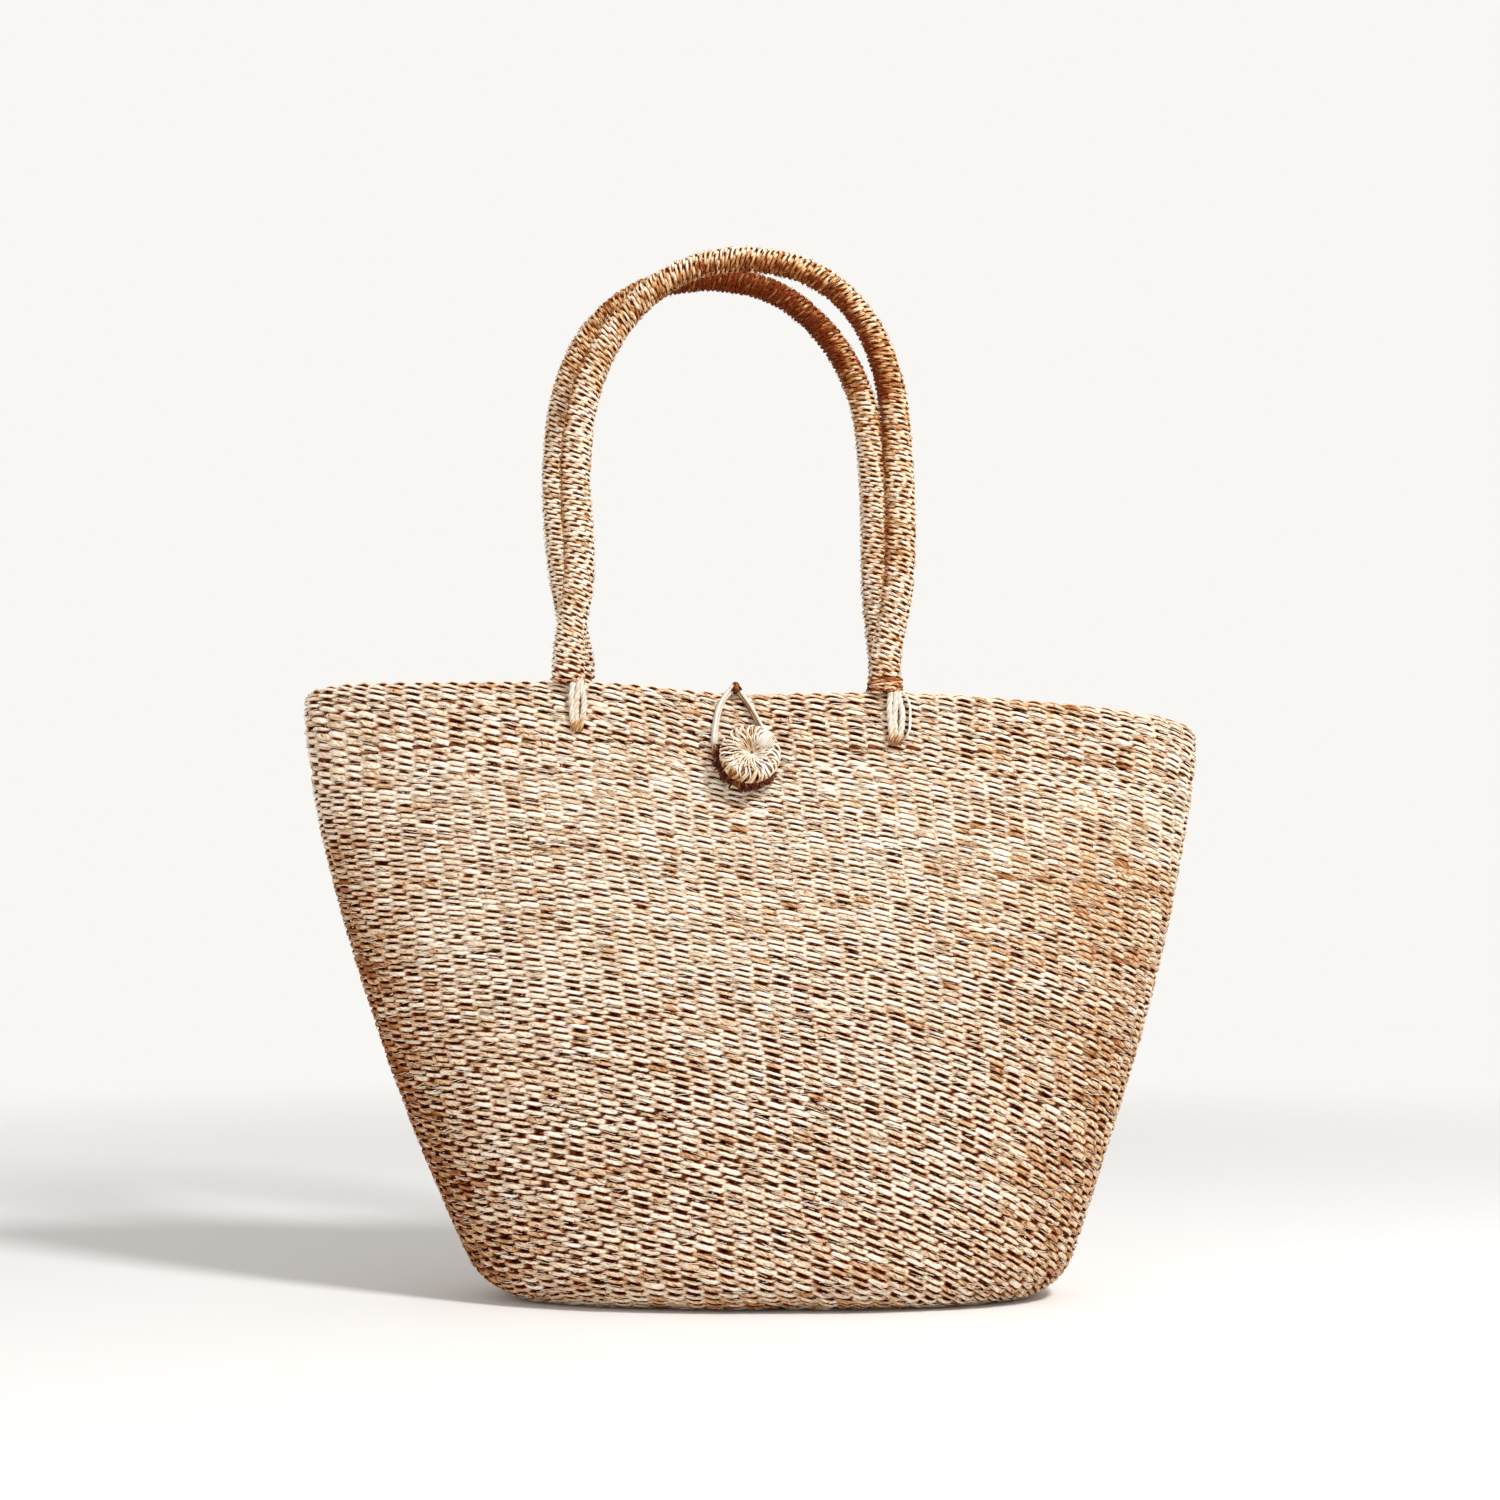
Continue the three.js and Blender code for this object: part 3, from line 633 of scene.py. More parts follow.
@dataclass(frozen=True)
class BagShape:
    """Outline of the bag's outer face, in millimetres, as its solids have it."""

    rim_height: float = 297.5
    rim_half_width: float = 220.5
    rim_half_depth: float = 33.0
    rim_roundness: float = 2.2
    base_half_width: float = 141.0
    base_half_depth: float = 64.0
    base_roundness: float = 2.3
    base_shift: float = 11.0
    base_shift_curve: float = 1.5
    flare_height: float = 285.0
    flare_curve: float = 1.5
    depth_curve: float = 1.8
    belly: float = 7.0
    base_turn: float = 22.0
    wall: float = 4.2
    rim_thickness: float = 8.7
    left_rise: float = 4.0
    left_reach: float = 90.0
    right_droop: float = 14.5
    sag: float = 2.3
    sag_reach: float = 44.0
    end_dip: float = 6.0
    end_power: float = 24.0
    line_curve: float = 3.0
    pinch: float = 6.0
    pinch_reach: float = 60.0
    pinch_curve: float = 4.0
    hem_depth: float = 29.5

    def rim_line(self, x: Array) -> Array:
        """Line of the rim.

        Args:
            x: places across the bag.

        Returns:
            Heights of the rim above its level.
        """
        side = x / self.rim_half_width
        rise = smoothstep(0.0, self.left_reach, -x) * self.left_rise
        droop = self.right_droop * np.maximum(side, 0.0) ** 2
        dip = self.end_dip * np.minimum(np.abs(side), 1.0) ** self.end_power
        return rise - droop - self.sag * hump(x, 0.0, self.sag_reach) - dip

    def height(self, x: Array, share: Array) -> Array:
        """Heights of the surface at x and a share of the way up."""
        return share * self.rim_height + share**self.line_curve * self.rim_line(x)

    def height_at(self, x: float, share: float) -> float:
        """Height of one point of the surface."""
        return float(self.height(np.asarray(x, float), np.asarray(share, float)))

    def plan(self, share: Array) -> tuple[Array, Array, Array, Array]:
        """Plan of the bag's rings.

        Args:
            share: shares of the way up.

        Returns:
            Centre, half width, half depth and roundness of the rings.
        """
        share = clipped(share)
        flare = 1.0 - (1.0 - np.minimum(share * self.rim_height / self.flare_height, 1.0)) ** self.flare_curve
        centre = self.base_shift * (1.0 - share) ** self.base_shift_curve
        width = self.base_half_width + (self.rim_half_width - self.base_half_width) * flare
        closing = share**self.depth_curve
        depth = self.base_half_depth + (self.rim_half_depth - self.base_half_depth) * closing
        depth = depth + self.belly * np.sin(math.pi * share)
        roundness = self.base_roundness + (self.rim_roundness - self.base_roundness) * share
        return centre, width, depth, roundness

    def pinch_at(self, x: Array, share: Array) -> Array:
        """How far the mouth is drawn in at x."""
        return self.pinch * hump(x, 0.0, self.pinch_reach) * share**self.pinch_curve

    def depth_at(self, x: float, share: float, inset: float = 0.0) -> float:
        """Distance of the wall from the middle plane.

        Args:
            x: place across the bag.
            share: share of the way up.
            inset: how far inside the outer face.

        Returns:
            The distance in millimetres.
        """
        centre, width, depth, roundness = self.plan(np.asarray(share, float))
        across = min(abs(x - centre) / (width - inset), 1.0)
        curve = (1.0 - across**roundness) ** (1.0 / roundness)
        return float((depth - inset) * curve - self.pinch_at(np.asarray(x, float), share))

    def below_rim(self, drop: float) -> float:
        """Share of the way up at a drop below the rim."""
        return 1.0 - drop / self.rim_height


@dataclass
class Cloth:
    """Middle surface of the twined cloth: base, corner, wall, fold over the rim and facing.

    A place on it is a turn round the bag, from 0 at the middle of the front by the right, and a run in
    millimetres from the base edge up the wall, over the rim and down the inside.
    """

    shape: BagShape
    lean: float = 0.12
    girth: float = 850.0
    groove: float = 0.9
    groove_reach: float = 2.4
    wave_depth: float = 0.6
    droop_runs: Row = (-60.0, 0.0, 40.0, 180.0, 268.0, 298.0, 400.0)
    droop_left: Row = (14.0, 21.0, 24.0, 24.0, 13.0, 0.0, 0.0)
    droop_right: Row = (14.0, 20.0, 21.0, 17.0, 3.0, 0.0, 0.0)
    droop_power: Row = (2.0, 2.0, 2.0, 2.5, 2.9, 2.9, 2.9)

    def __post_init__(self) -> None:
        """Works out the runs where the cloth turns, and the table of turns."""
        shape = self.shape
        self.middle = shape.wall / 2.0
        self.corner = shape.base_turn - self.middle
        self.wall_start = self.corner * math.pi / 2.0
        self.fold = shape.rim_thickness / 2.0 - self.middle
        wall_top = shape.rim_height - shape.rim_thickness / 2.0
        self.fold_start = self.wall_start + wall_top - shape.base_turn
        self.facing_start = self.fold_start + self.fold * math.pi
        self.facing_end = self.facing_start + shape.hem_depth - shape.rim_thickness / 2.0
        self.crease = self.fold_start + shape.rim_thickness / 2.0 - shape.hem_depth
        self.quarter = self._quarter_table()

    def _quarter_table(self) -> Array:
        """Works out the angles over a quarter of the ring.

        Returns:
            Angles for shares of the way up and for turns, both in even steps.
        """
        shares = np.linspace(0.0, 1.0, 41)
        angles = np.linspace(0.0, math.pi / 2.0, 721)
        turns = np.linspace(0.0, 1.0, 129)
        _, width, depth, roundness = self.shape.plan(shares[:, None])
        power = 2.0 / roundness
        x = (width - self.middle) * np.sin(angles) ** power
        y = (depth - self.middle) * np.cos(angles) ** power
        steps = np.hypot(np.diff(x, axis=1), np.diff(y, axis=1))
        arcs = np.concatenate([np.zeros((len(shares), 1)), np.cumsum(steps, axis=1)], axis=1)
        base = arcs[0, -1]
        table = np.zeros((len(shares), len(turns)))
        for row, arc in enumerate(arcs):
            table[row] = np.interp(turns * base + turns**2 * (arc[-1] - base), arc, angles)
        return table

    def _angle(self, turn: Array, share: Array) -> Array:
        """Angles round the ring, read off the table.

        Args:
            turn: turns round the bag.
            share: shares of the way up, from 0 to 1.

        Returns:
            Angles from the middle of the front.
        """
        quarter = np.mod(turn, 1.0) * 4.0
        sector = np.floor(quarter).astype(int) % 4
        part = quarter - np.floor(quarter)
        part = np.where(sector % 2 == 1, 1.0 - part, part)
        rows, columns = self.quarter.shape
        at_row = share * (rows - 1)
        at_column = part * (columns - 1)
        row = np.minimum(at_row.astype(int), rows - 2)
        column = np.minimum(at_column.astype(int), columns - 2)
        up = at_row - row
        side = at_column - column
        table = self.quarter
        low = table[row, column] * (1.0 - side) + table[row, column + 1] * side
        high = table[row + 1, column] * (1.0 - side) + table[row + 1, column + 1] * side
        angle = low * (1.0 - up) + high * up
        return np.select(
            [sector == 0, sector == 1, sector == 2],
            [angle, math.pi - angle, math.pi + angle],
            TURN - angle,
        )

    def _profile(self, run: Array) -> tuple[Array, Array]:
        """Section of the cloth.

        Args:
            run: runs.

        Returns:
            Insets from the outer face, and heights.
        """
        bend = np.clip(run / self.corner, 0.0, math.pi / 2.0)
        curl = np.clip((run - self.fold_start) / self.fold, 0.0, math.pi)
        inset = self.middle + self.corner * (1.0 - np.sin(bend)) - np.minimum(run, 0.0)
        inset = inset + self.fold * (1.0 - np.cos(curl))
        height = self.middle + self.corner * (1.0 - np.cos(bend))
        height = height + np.clip(run - self.wall_start, 0.0, self.fold_start - self.wall_start)
        height = height + self.fold * np.sin(curl) - np.maximum(run - self.facing_start, 0.0)
        return inset, height

    def place(self, turn: Array, run: Amount) -> Array:
        """Points of the middle surface.

        Args:
            turn: turns round the bag.
            run: nominal runs, before the rows droop towards the two ends.

        Returns:
            Points in millimetres.
        """
        turn, run = np.broadcast_arrays(np.asarray(turn, float), np.asarray(run, float))
        wall_run = np.minimum(run, 2.0 * self.fold_start + self.fold * math.pi - run)
        rough_share = clipped(wall_run / self.fold_start)
        angle = self._angle(turn - self.lean * wall_run / self.girth, rough_share)
        power = 2.0 / self.shape.plan(rough_share)[3]
        side = np.sign(np.sin(angle)) * np.abs(np.sin(angle)) ** power
        reach = np.abs(side) ** np.interp(run, self.droop_runs, self.droop_power)
        left = np.interp(run, self.droop_runs, self.droop_left)
        right = np.interp(run, self.droop_runs, self.droop_right)
        inset, height = self._profile(run - np.where(side < 0.0, left, right) * reach)
        share = height / self.shape.rim_height
        centre, width, depth, roundness = self.shape.plan(share)
        x = centre + np.maximum(width - inset, 0.5) * side
        deep = np.maximum(depth - inset, 0.5) * np.abs(np.cos(angle)) ** (2.0 / roundness)
        y = -np.sign(np.cos(angle)) * (deep - self.shape.pinch_at(x, share))
        return np.stack([x, y, self.shape.height(x, share)], -1)

    def upward(self, turn: Array, run: Amount, rise: float = 0.5) -> Array:
        """Steps up the surface over twice that rise in nominal run."""
        return self.place(turn, run + rise) - self.place(turn, run - rise)

    def outward(self, turn: Array, run: Amount) -> Array:
        """The way that the cloth's outer face looks.

        Args:
            turn: turns round the bag.
            run: runs.

        Returns:
            Unit normals.
        """
        step = 2.0e-4
        aside = self.place(turn + step, run) - self.place(turn - step, run)
        return unit(np.cross(aside, self.upward(turn, run, 0.2)))

    def lifted(self, turn: Array, run: Amount, lift: Amount) -> tuple[Array, Array]:
        """Points at a lift off the middle surface, and the way that it faces there."""
        outward = self.outward(turn, run)
        return self.place(turn, run) + outward * np.asarray(lift)[..., None], outward

    def stretch(self, turn: Array, run: float) -> Array:
        """Length on the surface of a millimetre of nominal run."""
        return np.linalg.norm(self.upward(turn, run), axis=-1)

    def sink(self, turn: Array, run: Amount) -> Array:
        """How far the cloth lies below its smooth face: the hem's crease and slow hand-made waves.

        Args:
            turn: turns round the bag.
            run: runs.

        Returns:
            Depths in millimetres.
        """
        waves = 0.35 * np.sin(TURN * (7.0 * turn) + run / 31.0)
        waves = waves + 0.3 * np.sin(TURN * (11.0 * turn + 0.3) - run / 19.0)
        fade = smoothstep(self.fold_start, self.fold_start - 25.0, run)
        crease = self.groove * hump(run, self.crease, self.groove_reach)
        return crease + (waves + 0.4) * self.wave_depth * fade


@dataclass(frozen=True)
class Twining:
    """Two strands that pass before and behind each warp in turn."""

    lift: float = 1.02
    thick: float = 1.0
    steps: int = 4

    def waves(self, stitches: Array, strand: int) -> tuple[Array, Array, Array]:
        """Shape of one strand.

        Args:
            stitches: places along the row, counted in stitches.
            strand: 0 or 1.

        Returns:
            Offsets off the surface and up it, as shares, and the swell of the strand.
        """
        phase = math.pi * (stitches + 0.5 + strand)
        off = np.sign(np.sin(phase)) * np.abs(np.sin(phase)) ** 0.75
        swell = 0.7 + 0.3 * np.abs(np.sin(phase)) ** 0.8
        return off, np.cos(phase), swell

    @staticmethod
    def open_face(off: Array, angle: Array) -> Array:
        """How open each corner of a strand's section lies, with both faces of the cloth seen; closed corners
        are painted as shade.

        Args:
            off: offsets off the surface, as shares.
            angle: angles of the section's corners, a quarter turn at the outer face.

        Returns:
            Values from 0 in a crevice to 1 in the open, per centre and corner.
        """
        face = np.sin(angle)[None, :]
        on_flank = np.abs(face) < 0.3
        seen = off[:, None] * np.sign(np.where(on_flank, 1.0, face))
        crown = smoothstep(-0.9, 0.1, seen)
        flank = 0.95 - 1.15 * np.abs(off[:, None]) ** 2.0
        return np.where(on_flank, flank, crown)


@dataclass
class WovenBody:
    """The twined basket: base, wall, hem over the rim, warps, hem cord, crease stitches and fray.

    The rows of numbers give, at the runs in pitch_runs, the rows' pitch, how full the strands fill it, how
    far they slant across it, and how dark the painted shade in its crevices is.
    """

    cloth: Cloth
    finishes: Finishes
    twining: Twining = Twining()
    stitch: float = 8.85
    warps: int = 88
    warp_radius: float = 0.8
    first_run: float = -44.0
    wall_first: float = -2.0
    hem_reach: float = 8.0
    wall_bands: int = 7
    pitch_runs: Row = (-60.0, 100.0, 150.0, 190.0, 268.0, 276.0, 300.0, 302.0, 309.5, 312.0, 340.0)
    pitches: Row = (4.0, 3.85, 3.3, 2.85, 2.85, 3.2, 3.0, 1.8, 1.8, 3.0, 3.2)
    fullness: Row = (0.372, 0.376, 0.398, 0.422, 0.43, 0.41, 0.42, 0.52, 0.56, 0.45, 0.42)
    slants: Row = (0.31, 0.3, 0.28, 0.26, 0.26, 0.26, 0.26, 0.36, 0.36, 0.26, 0.26)
    shadows: Row = (1.35, 1.25, 1.1, 0.95, 0.92, 1.1, 1.1, 1.1, 0.9, 0.8, 0.9)
    wander: float = 0.07
    wander_wave: float = 0.045
    size_spread: float = 0.18
    slip_spread: float = 0.2
    press_spread: float = 0.12
    tone: float = 0.82
    tone_spread: float = 0.21
    row_tone_spread: float = 0.05
    brown_share: float = 0.02
    brown_drop: float = 0.26
    # Painted shade in the hem's crease.
    crease_shade: float = 0.18
    # Painted shade: deeper crevices down the left end, and darker tone at both ends where the wall turns from
    # the light, low down, on the hem, at the rim's top and along the base edge.
    left_shadow: float = 0.8
    left_end_shade: float = 0.42
    left_verge_shade: float = 0.6
    right_end_shade: float = 0.32
    hem_shade: float = 0.1
    rim_top_shade: float = 0.04
    low_shade: float = 0.14
    base_edge_shade: float = 0.55
    strays: int = 8000

    def __post_init__(self) -> None:
        """Starts the source of the random draws."""
        self.rng = np.random.default_rng(SEED)

    def build(self) -> None:
        """Builds and dresses every piece of the body."""
        runs = self._row_runs()
        wall_last = self.cloth.fold_start - self.hem_reach
        base = [run for run in runs if run < self.wall_first]
        wall = [run for run in runs if self.wall_first <= run < wall_last]
        hem = [run for run in runs if run >= wall_last]
        self._band("woven_base_rings", base, self.finishes.woven, "woven_base")
        for number, band in enumerate(np.array_split(np.array(wall), self.wall_bands), 1):
            self._band(f"woven_wall_band_{number}", list(band), self.finishes.woven, "woven_wall")
        self._band("hem_turned_rows", hem, self.finishes.hem, "hem_facing")
        self._warps()
        self._hem_cord()
        self._crease_stitches()
        self._stray_fibres("front", -0.25)
        self._stray_fibres("rear", 0.25)

    def _read(self, row: Row, run: float) -> float:
        """Reads a row of numbers at a run."""
        return float(np.interp(run, self.pitch_runs, row))

    def _row_runs(self) -> list[float]:
        """Steps up the cloth, row by row.

        Returns:
            Runs of the rows, from the middle of the base to the facing's edge.
        """
        runs = []
        run = self.first_run
        while run < self.cloth.facing_end - 1.0:
            runs.append(run)
            run += self._read(self.pitches, run)
        return runs

    def _band(self, name: str, runs: list[float], finish: Finish, node: str) -> None:
        """Weaves a band of rows into one piece.

        Args:
            name: the piece's name.
            runs: the rows' runs.
            finish: the piece's finish.
            node: the solid that it replaces.
        """
        bundle = Bundle(sides=6, folds=2, twist=0.3)
        for run in runs:
            self._row(bundle, run)
        bundle.settle(name, finish, Body.BASKET, node)

    def _wander(self, turn: Array) -> Array:
        """How far a row's stitches stray along it, as handwork does.

        Args:
            turn: turns round the bag.

        Returns:
            Distances in stitches.
        """
        stray = np.full(len(turn), self.rng.normal(0.0, self.wander))
        for waves in (3, 8, 17):
            stray = stray + self.wander_wave * np.sin(TURN * (waves * turn + self.rng.random()))
        return stray

    def _painted_shade(self, turn: Array, run: float) -> Array:
        """How much darker the fibre is painted, all of it painted shade: at the bag's two ends where the wall
        turns from the light, low down, on the hem, most on its right half, at the rim's top and along the
        base edge.

        Args:
            turn: turns round the bag.
            run: the row's run.

        Returns:
            Drops in tone.
        """
        crease, rim = self.cloth.crease, self.cloth.fold_start
        end = 0.25 - np.abs(0.25 - np.mod(turn, 0.5))
        at_left = np.mod(turn, 1.0) > 0.5
        lower = smoothstep(crease, crease - 70.0, run)
        ends = np.where(at_left, self.left_end_shade, self.right_end_shade) * smoothstep(0.11, 0.25, end) * lower
        verge = np.where(at_left, self.left_verge_shade, 0.0) * smoothstep(0.175, 0.235, end)
        ends = ends + verge * lower
        low = self.low_shade * smoothstep(110.0, 0.0, run)
        above = smoothstep(crease - 2.0, crease + 5.0, run)
        hem = self.hem_shade * above * (0.45 + 0.55 * np.sin(TURN * turn))
        top = self.rim_top_shade * smoothstep(rim - 5.0, rim + 1.0, run)
        return ends + low + hem + top + self.base_edge_shade * smoothstep(19.0, 5.0, run)

    def _shadow(self, turn: Array, run: float) -> Array:
        """How dark a row's painted crevice shade is: deepest low down the left end, and lighter on the hem
        there.

        Args:
            turn: turns round the bag.
            run: the row's run.

        Returns:
            Shares, 1 as usual, for each point.
        """
        left = smoothstep(0.14, 0.25, 0.25 - np.abs(np.mod(turn, 1.0) - 0.75))
        below = smoothstep(self.cloth.crease + 4.0, self.cloth.crease - 30.0, run)
        left = left * (1.6 * below - 0.6)
        return self._read(self.shadows, run) + self.left_shadow * left[:, None]

    def _stitches(self, run: float) -> tuple[int, Array, Array]:
        """Shares a row out into even stitches.

        Args:
            run: the row's run.

        Returns:
            How many stitches it takes, its points counted in stitches, and their turns.
        """
        ring = np.linspace(0.0, 1.0, 361)
        along = measure(self.cloth.place(ring, run))
        stitches = 2 * round(along[-1] / (2.0 * self.stitch))
        count = np.arange(stitches * self.twining.steps) / self.twining.steps
        return stitches, count, np.interp(count * along[-1] / stitches, along, ring)

    def _row(self, bundle: Bundle, run: float) -> None:
        """Weaves one row of two strands.

        Args:
            bundle: where the strands go.
            run: the row's run.
        """
        cloth, twining, rng = self.cloth, self.twining, self.rng
        stitches, count, turn = self._stitches(run)
        count = count + self._wander(turn)
        lobe = np.floor(count + 0.5).astype(int) % stitches
        pitch = self._read(self.pitches, run)
        slant = self._read(self.slants, run)
        room = self._read(self.fullness, run) * pitch * cloth.stretch(turn, run)
        outward = cloth.outward(turn, run)
        sink = cloth.sink(turn, run)
        row_tone = rng.normal(0.0, self.row_tone_spread)
        # Painted shade: the rows in the hem's crease are darker.
        crease_row_shade = self.crease_shade * hump(run, cloth.crease, 2.2)
        shadow = self._shadow(turn, run)
        # Painted shade at the ends, low down, on the hem, at the rim's top and along the base edge.
        painted_shade = self._painted_shade(turn, run)
        for strand in range(2):
            off, up, swell = twining.waves(count, strand)
            size = 1.0 + rng.normal(0.0, self.size_spread, stitches)[lobe]
            slip = rng.normal(0.0, self.slip_spread, stitches)[lobe]
            press = rng.normal(0.0, self.press_spread, stitches)[lobe]
            tone = rng.normal(self.tone, self.tone_spread, stitches)
            tone = 0.6 * tone + 0.2 * np.roll(tone, 1) + 0.2 * np.roll(tone, 2) + row_tone
            brown = rng.random(stitches) < self.brown_share
            tone = np.where(brown, tone - self.brown_drop, tone) - crease_row_shade
            path = cloth.place(turn, run + (up * slant * pitch + slip))
            path = path + outward * (off * (twining.lift + press) - sink)[:, None]
            # Painted shade in the crevices between stitches.
            open_face = 1.0 - shadow * (1.0 - twining.open_face(off, bundle.corners))
            shade = clipped(tone[lobe] - painted_shade)
            bundle.strand(path, outward, room * swell * size, twining.thick, shade, open_face, True)

    def _warps(self) -> None:
        """Lays the warps that the rows are twined round."""
        bundle = Bundle(sides=4)
        runs = np.arange(self.first_run + 6.0, self.cloth.facing_end, 7.0)
        for warp in range(self.warps):
            turn = np.full(len(runs), warp / self.warps)
            path, outward = self.cloth.lifted(turn, runs, -self.cloth.sink(turn, runs))
            tone = self.rng.uniform(0.25, 0.7)
            # The warps' low depth paints them in shade, deep in the gaps between rows.
            bundle.strand(path, outward, self.warp_radius * 1.3, self.warp_radius, tone, 0.35)
        bundle.settle("warps", self.finishes.warp, Body.BASKET)

    def _hem_cord(self) -> None:
        """Lays the two-ply cord along the facing's lower edge."""
        bundle = Bundle(sides=5, folds=4)
        count = 620
        twists = 170.0
        turn = np.arange(count) / count
        run = self.cloth.facing_end + 1.1
        line, outward = self.cloth.lifted(turn, run, -1.2)
        upward = unit(self.cloth.upward(turn, run))
        for ply in range(2):
            twist = TURN * twists * turn + ply * math.pi
            path = line + 0.42 * (np.cos(twist)[:, None] * outward + np.sin(twist)[:, None] * upward)
            tone = 0.55 + self.rng.normal(0.0, 0.08, count)
            bundle.strand(path, outward, 0.5, 0.5, clipped(tone), 0.8, True)
        bundle.settle("hem_cord_ply", self.finishes.core, Body.BASKET, "hem_cord")

    def _crease_stitches(self) -> None:
        """Sews the brown stitches that lie in the hem's crease."""
        bundle = Bundle(sides=5)
        rng = self.rng
        share = np.linspace(-0.5, 0.5, 7)
        taper = np.sqrt(np.maximum(1.0 - (2.0 * share) ** 2, 0.02))
        for warp in range(self.warps):
            long = rng.uniform(0.55, 0.95)
            turn = (warp + 0.5 + rng.normal(0.0, 0.06) + share * long) / self.warps
            run = self.cloth.crease + 1.5 - share * 1.4 + rng.normal(0.0, 0.2)
            path, outward = self.cloth.lifted(turn, run, taper - 0.5)
            bundle.strand(path, outward, 0.95 * taper, 0.5 * taper, rng.uniform(0.05, 0.55), 0.9)
        bundle.settle("hem_crease_stitches", self.finishes.bound, Body.BASKET)

    def _stray_fibres(self, side: str, first: float) -> None:
        """Frays one half of the outer face with thin fibres that lie over the stitches.

        Args:
            side: the half's name.
            first: the turn where the half starts.
        """
        bundle = Bundle(sides=3)
        lowest = 3.0
        share = np.linspace(-0.5, 0.5, 4)[None, :]
        spots = self.rng.random((self.strays, 5, 1))
        long = 3.5 + 6.0 * spots[:, 0] ** 2
        tilt = -0.15 + 0.5 * (spots[:, 1] - 0.5)
        turn = first + 0.5 * spots[:, 2] + share * long / self.cloth.girth
        run = lowest + (self.cloth.fold_start - lowest) * spots[:, 3] + share * long * tilt
        lift = 1.5 + 0.4 * spots[:, 4] + 0.3 * (1.0 - 4.0 * share**2) - self.cloth.sink(turn, run)
        paths, outward = self.cloth.lifted(turn, run, lift)
        tones = np.sort(clipped(self.rng.normal(0.72, 0.32, self.strays)))
        wide = self.rng.uniform(0.12, 0.26, self.strays)
        for path, away, tone, half in zip(paths, outward, tones, wide, strict=True):
            bundle.strand(path, away, half, 0.12, tone)
        bundle.settle(f"stray_fibres_{side}", self.finishes.woven, Body.BASKET)


@dataclass(frozen=True)
class Foot:
    """Where a handle's leg meets the rim."""

    x: float
    side: int
    depth: float
    base: float

    @classmethod
    def on(cls, shape: BagShape, x: float, side: int) -> "Foot":
        """Finds a foot.

        Args:
            shape: the bag's outline.
            x: the foot's place across the bag.
            side: -1 on the front rim, 1 on the rear one.

        Returns:
            The foot.
        """
        outer = shape.depth_at(x, 1.0)
        inner = shape.depth_at(x, 1.0, shape.rim_thickness)
        return cls(x, side, (outer + inner) / 2.0, shape.height_at(x, 1.0) + FOOT_GAP)


@dataclass(frozen=True)
class Curve:
    """A smooth line measured along its length."""

    points: Array
    lengths: Array

    @classmethod
    def through(cls, knots: Array, density: int = 160) -> "Curve":
        """Draws a centripetal curve.

        Args:
            knots: points that it passes through.
            density: how many points it has from knot to knot.

        Returns:
            The curve.
        """
        ends = np.concatenate([[2.0 * knots[0] - knots[1]], knots, [2.0 * knots[-1] - knots[-2]]])
        share = np.linspace(0.0, 1.0, density, endpoint=False)[:, None]
        parts = []
        for index in range(len(knots) - 1):
            p0, p1, p2, p3 = ends[index : index + 4]
            t01, t12, t23 = (np.linalg.norm(step) ** 0.5 for step in (p1 - p0, p2 - p1, p3 - p2))
            m1 = ((p1 - p0) / t01 - (p2 - p0) / (t01 + t12) + (p2 - p1) / t12) * t12
            m2 = ((p2 - p1) / t12 - (p3 - p1) / (t12 + t23) + (p3 - p2) / t23) * t12
            cubic = 2.0 * p1 - 2.0 * p2 + m1 + m2
            square = -3.0 * p1 + 3.0 * p2 - 2.0 * m1 - m2
            parts.append(p1 + m1 * share + square * share**2 + cubic * share**3)
        points = np.concatenate([*parts, knots[-1:]])
        return cls(points, measure(points))

    @property
    def length(self) -> float:
        """Whole length."""
        return float(self.lengths[-1])

    def at(self, distance: Array) -> Array:
        """Points at distances along the line."""
        return np.stack([np.interp(distance, self.lengths, self.points[:, k]) for k in range(3)], -1)

    def along(self, distance: Array) -> Array:
        """Directions of the line.

        Args:
            distance: distances along it.

        Returns:
            Unit directions.
        """
        step = 0.6
        ahead = np.minimum(distance + step, self.length)
        behind = np.maximum(distance - step, 0.0)
        return unit(self.at(ahead) - self.at(behind))


def resample(points: Array, step: float) -> Array:
    """Spaces points evenly along a smooth line through these."""
    line = Curve.through(points, 24)
    return line.at(np.linspace(0.0, line.length, max(int(line.length / step), 4)))


def plied(
    bundle: Bundle, path: Array, outward: Array, offset: float, radius: float, twist: float, tones: tuple
) -> None:
    """Adds a cord of twisted plies.

    Args:
        bundle: where the plies go.
        path: centres of the cord, in millimetres.
        outward: a direction that never lies along the path.
        offset: distance of a ply's middle from the cord's.
        radius: radius of a ply.
        twist: length of one full twist.
        tones: one tone, or one tone per centre, for each ply.
    """
    length = measure(path)
    along = unit(np.gradient(path, axis=0))
    facing = square_to(along, outward)
    across = np.cross(along, facing)
    # Painted shade on the sides of each ply, where it lies against the others.
    inside = 0.45 + 0.55 * np.abs(np.cos(bundle.corners))
    for ply, tone in enumerate(tones):
        angle = TURN * (length / twist + ply / len(tones))
        lean = np.cos(angle)[:, None] * facing + np.sin(angle)[:, None] * across
        bundle.strand(path + lean * offset, lean, radius, radius * 0.95, tone, 1.0 - 0.25 * inside[None, :])


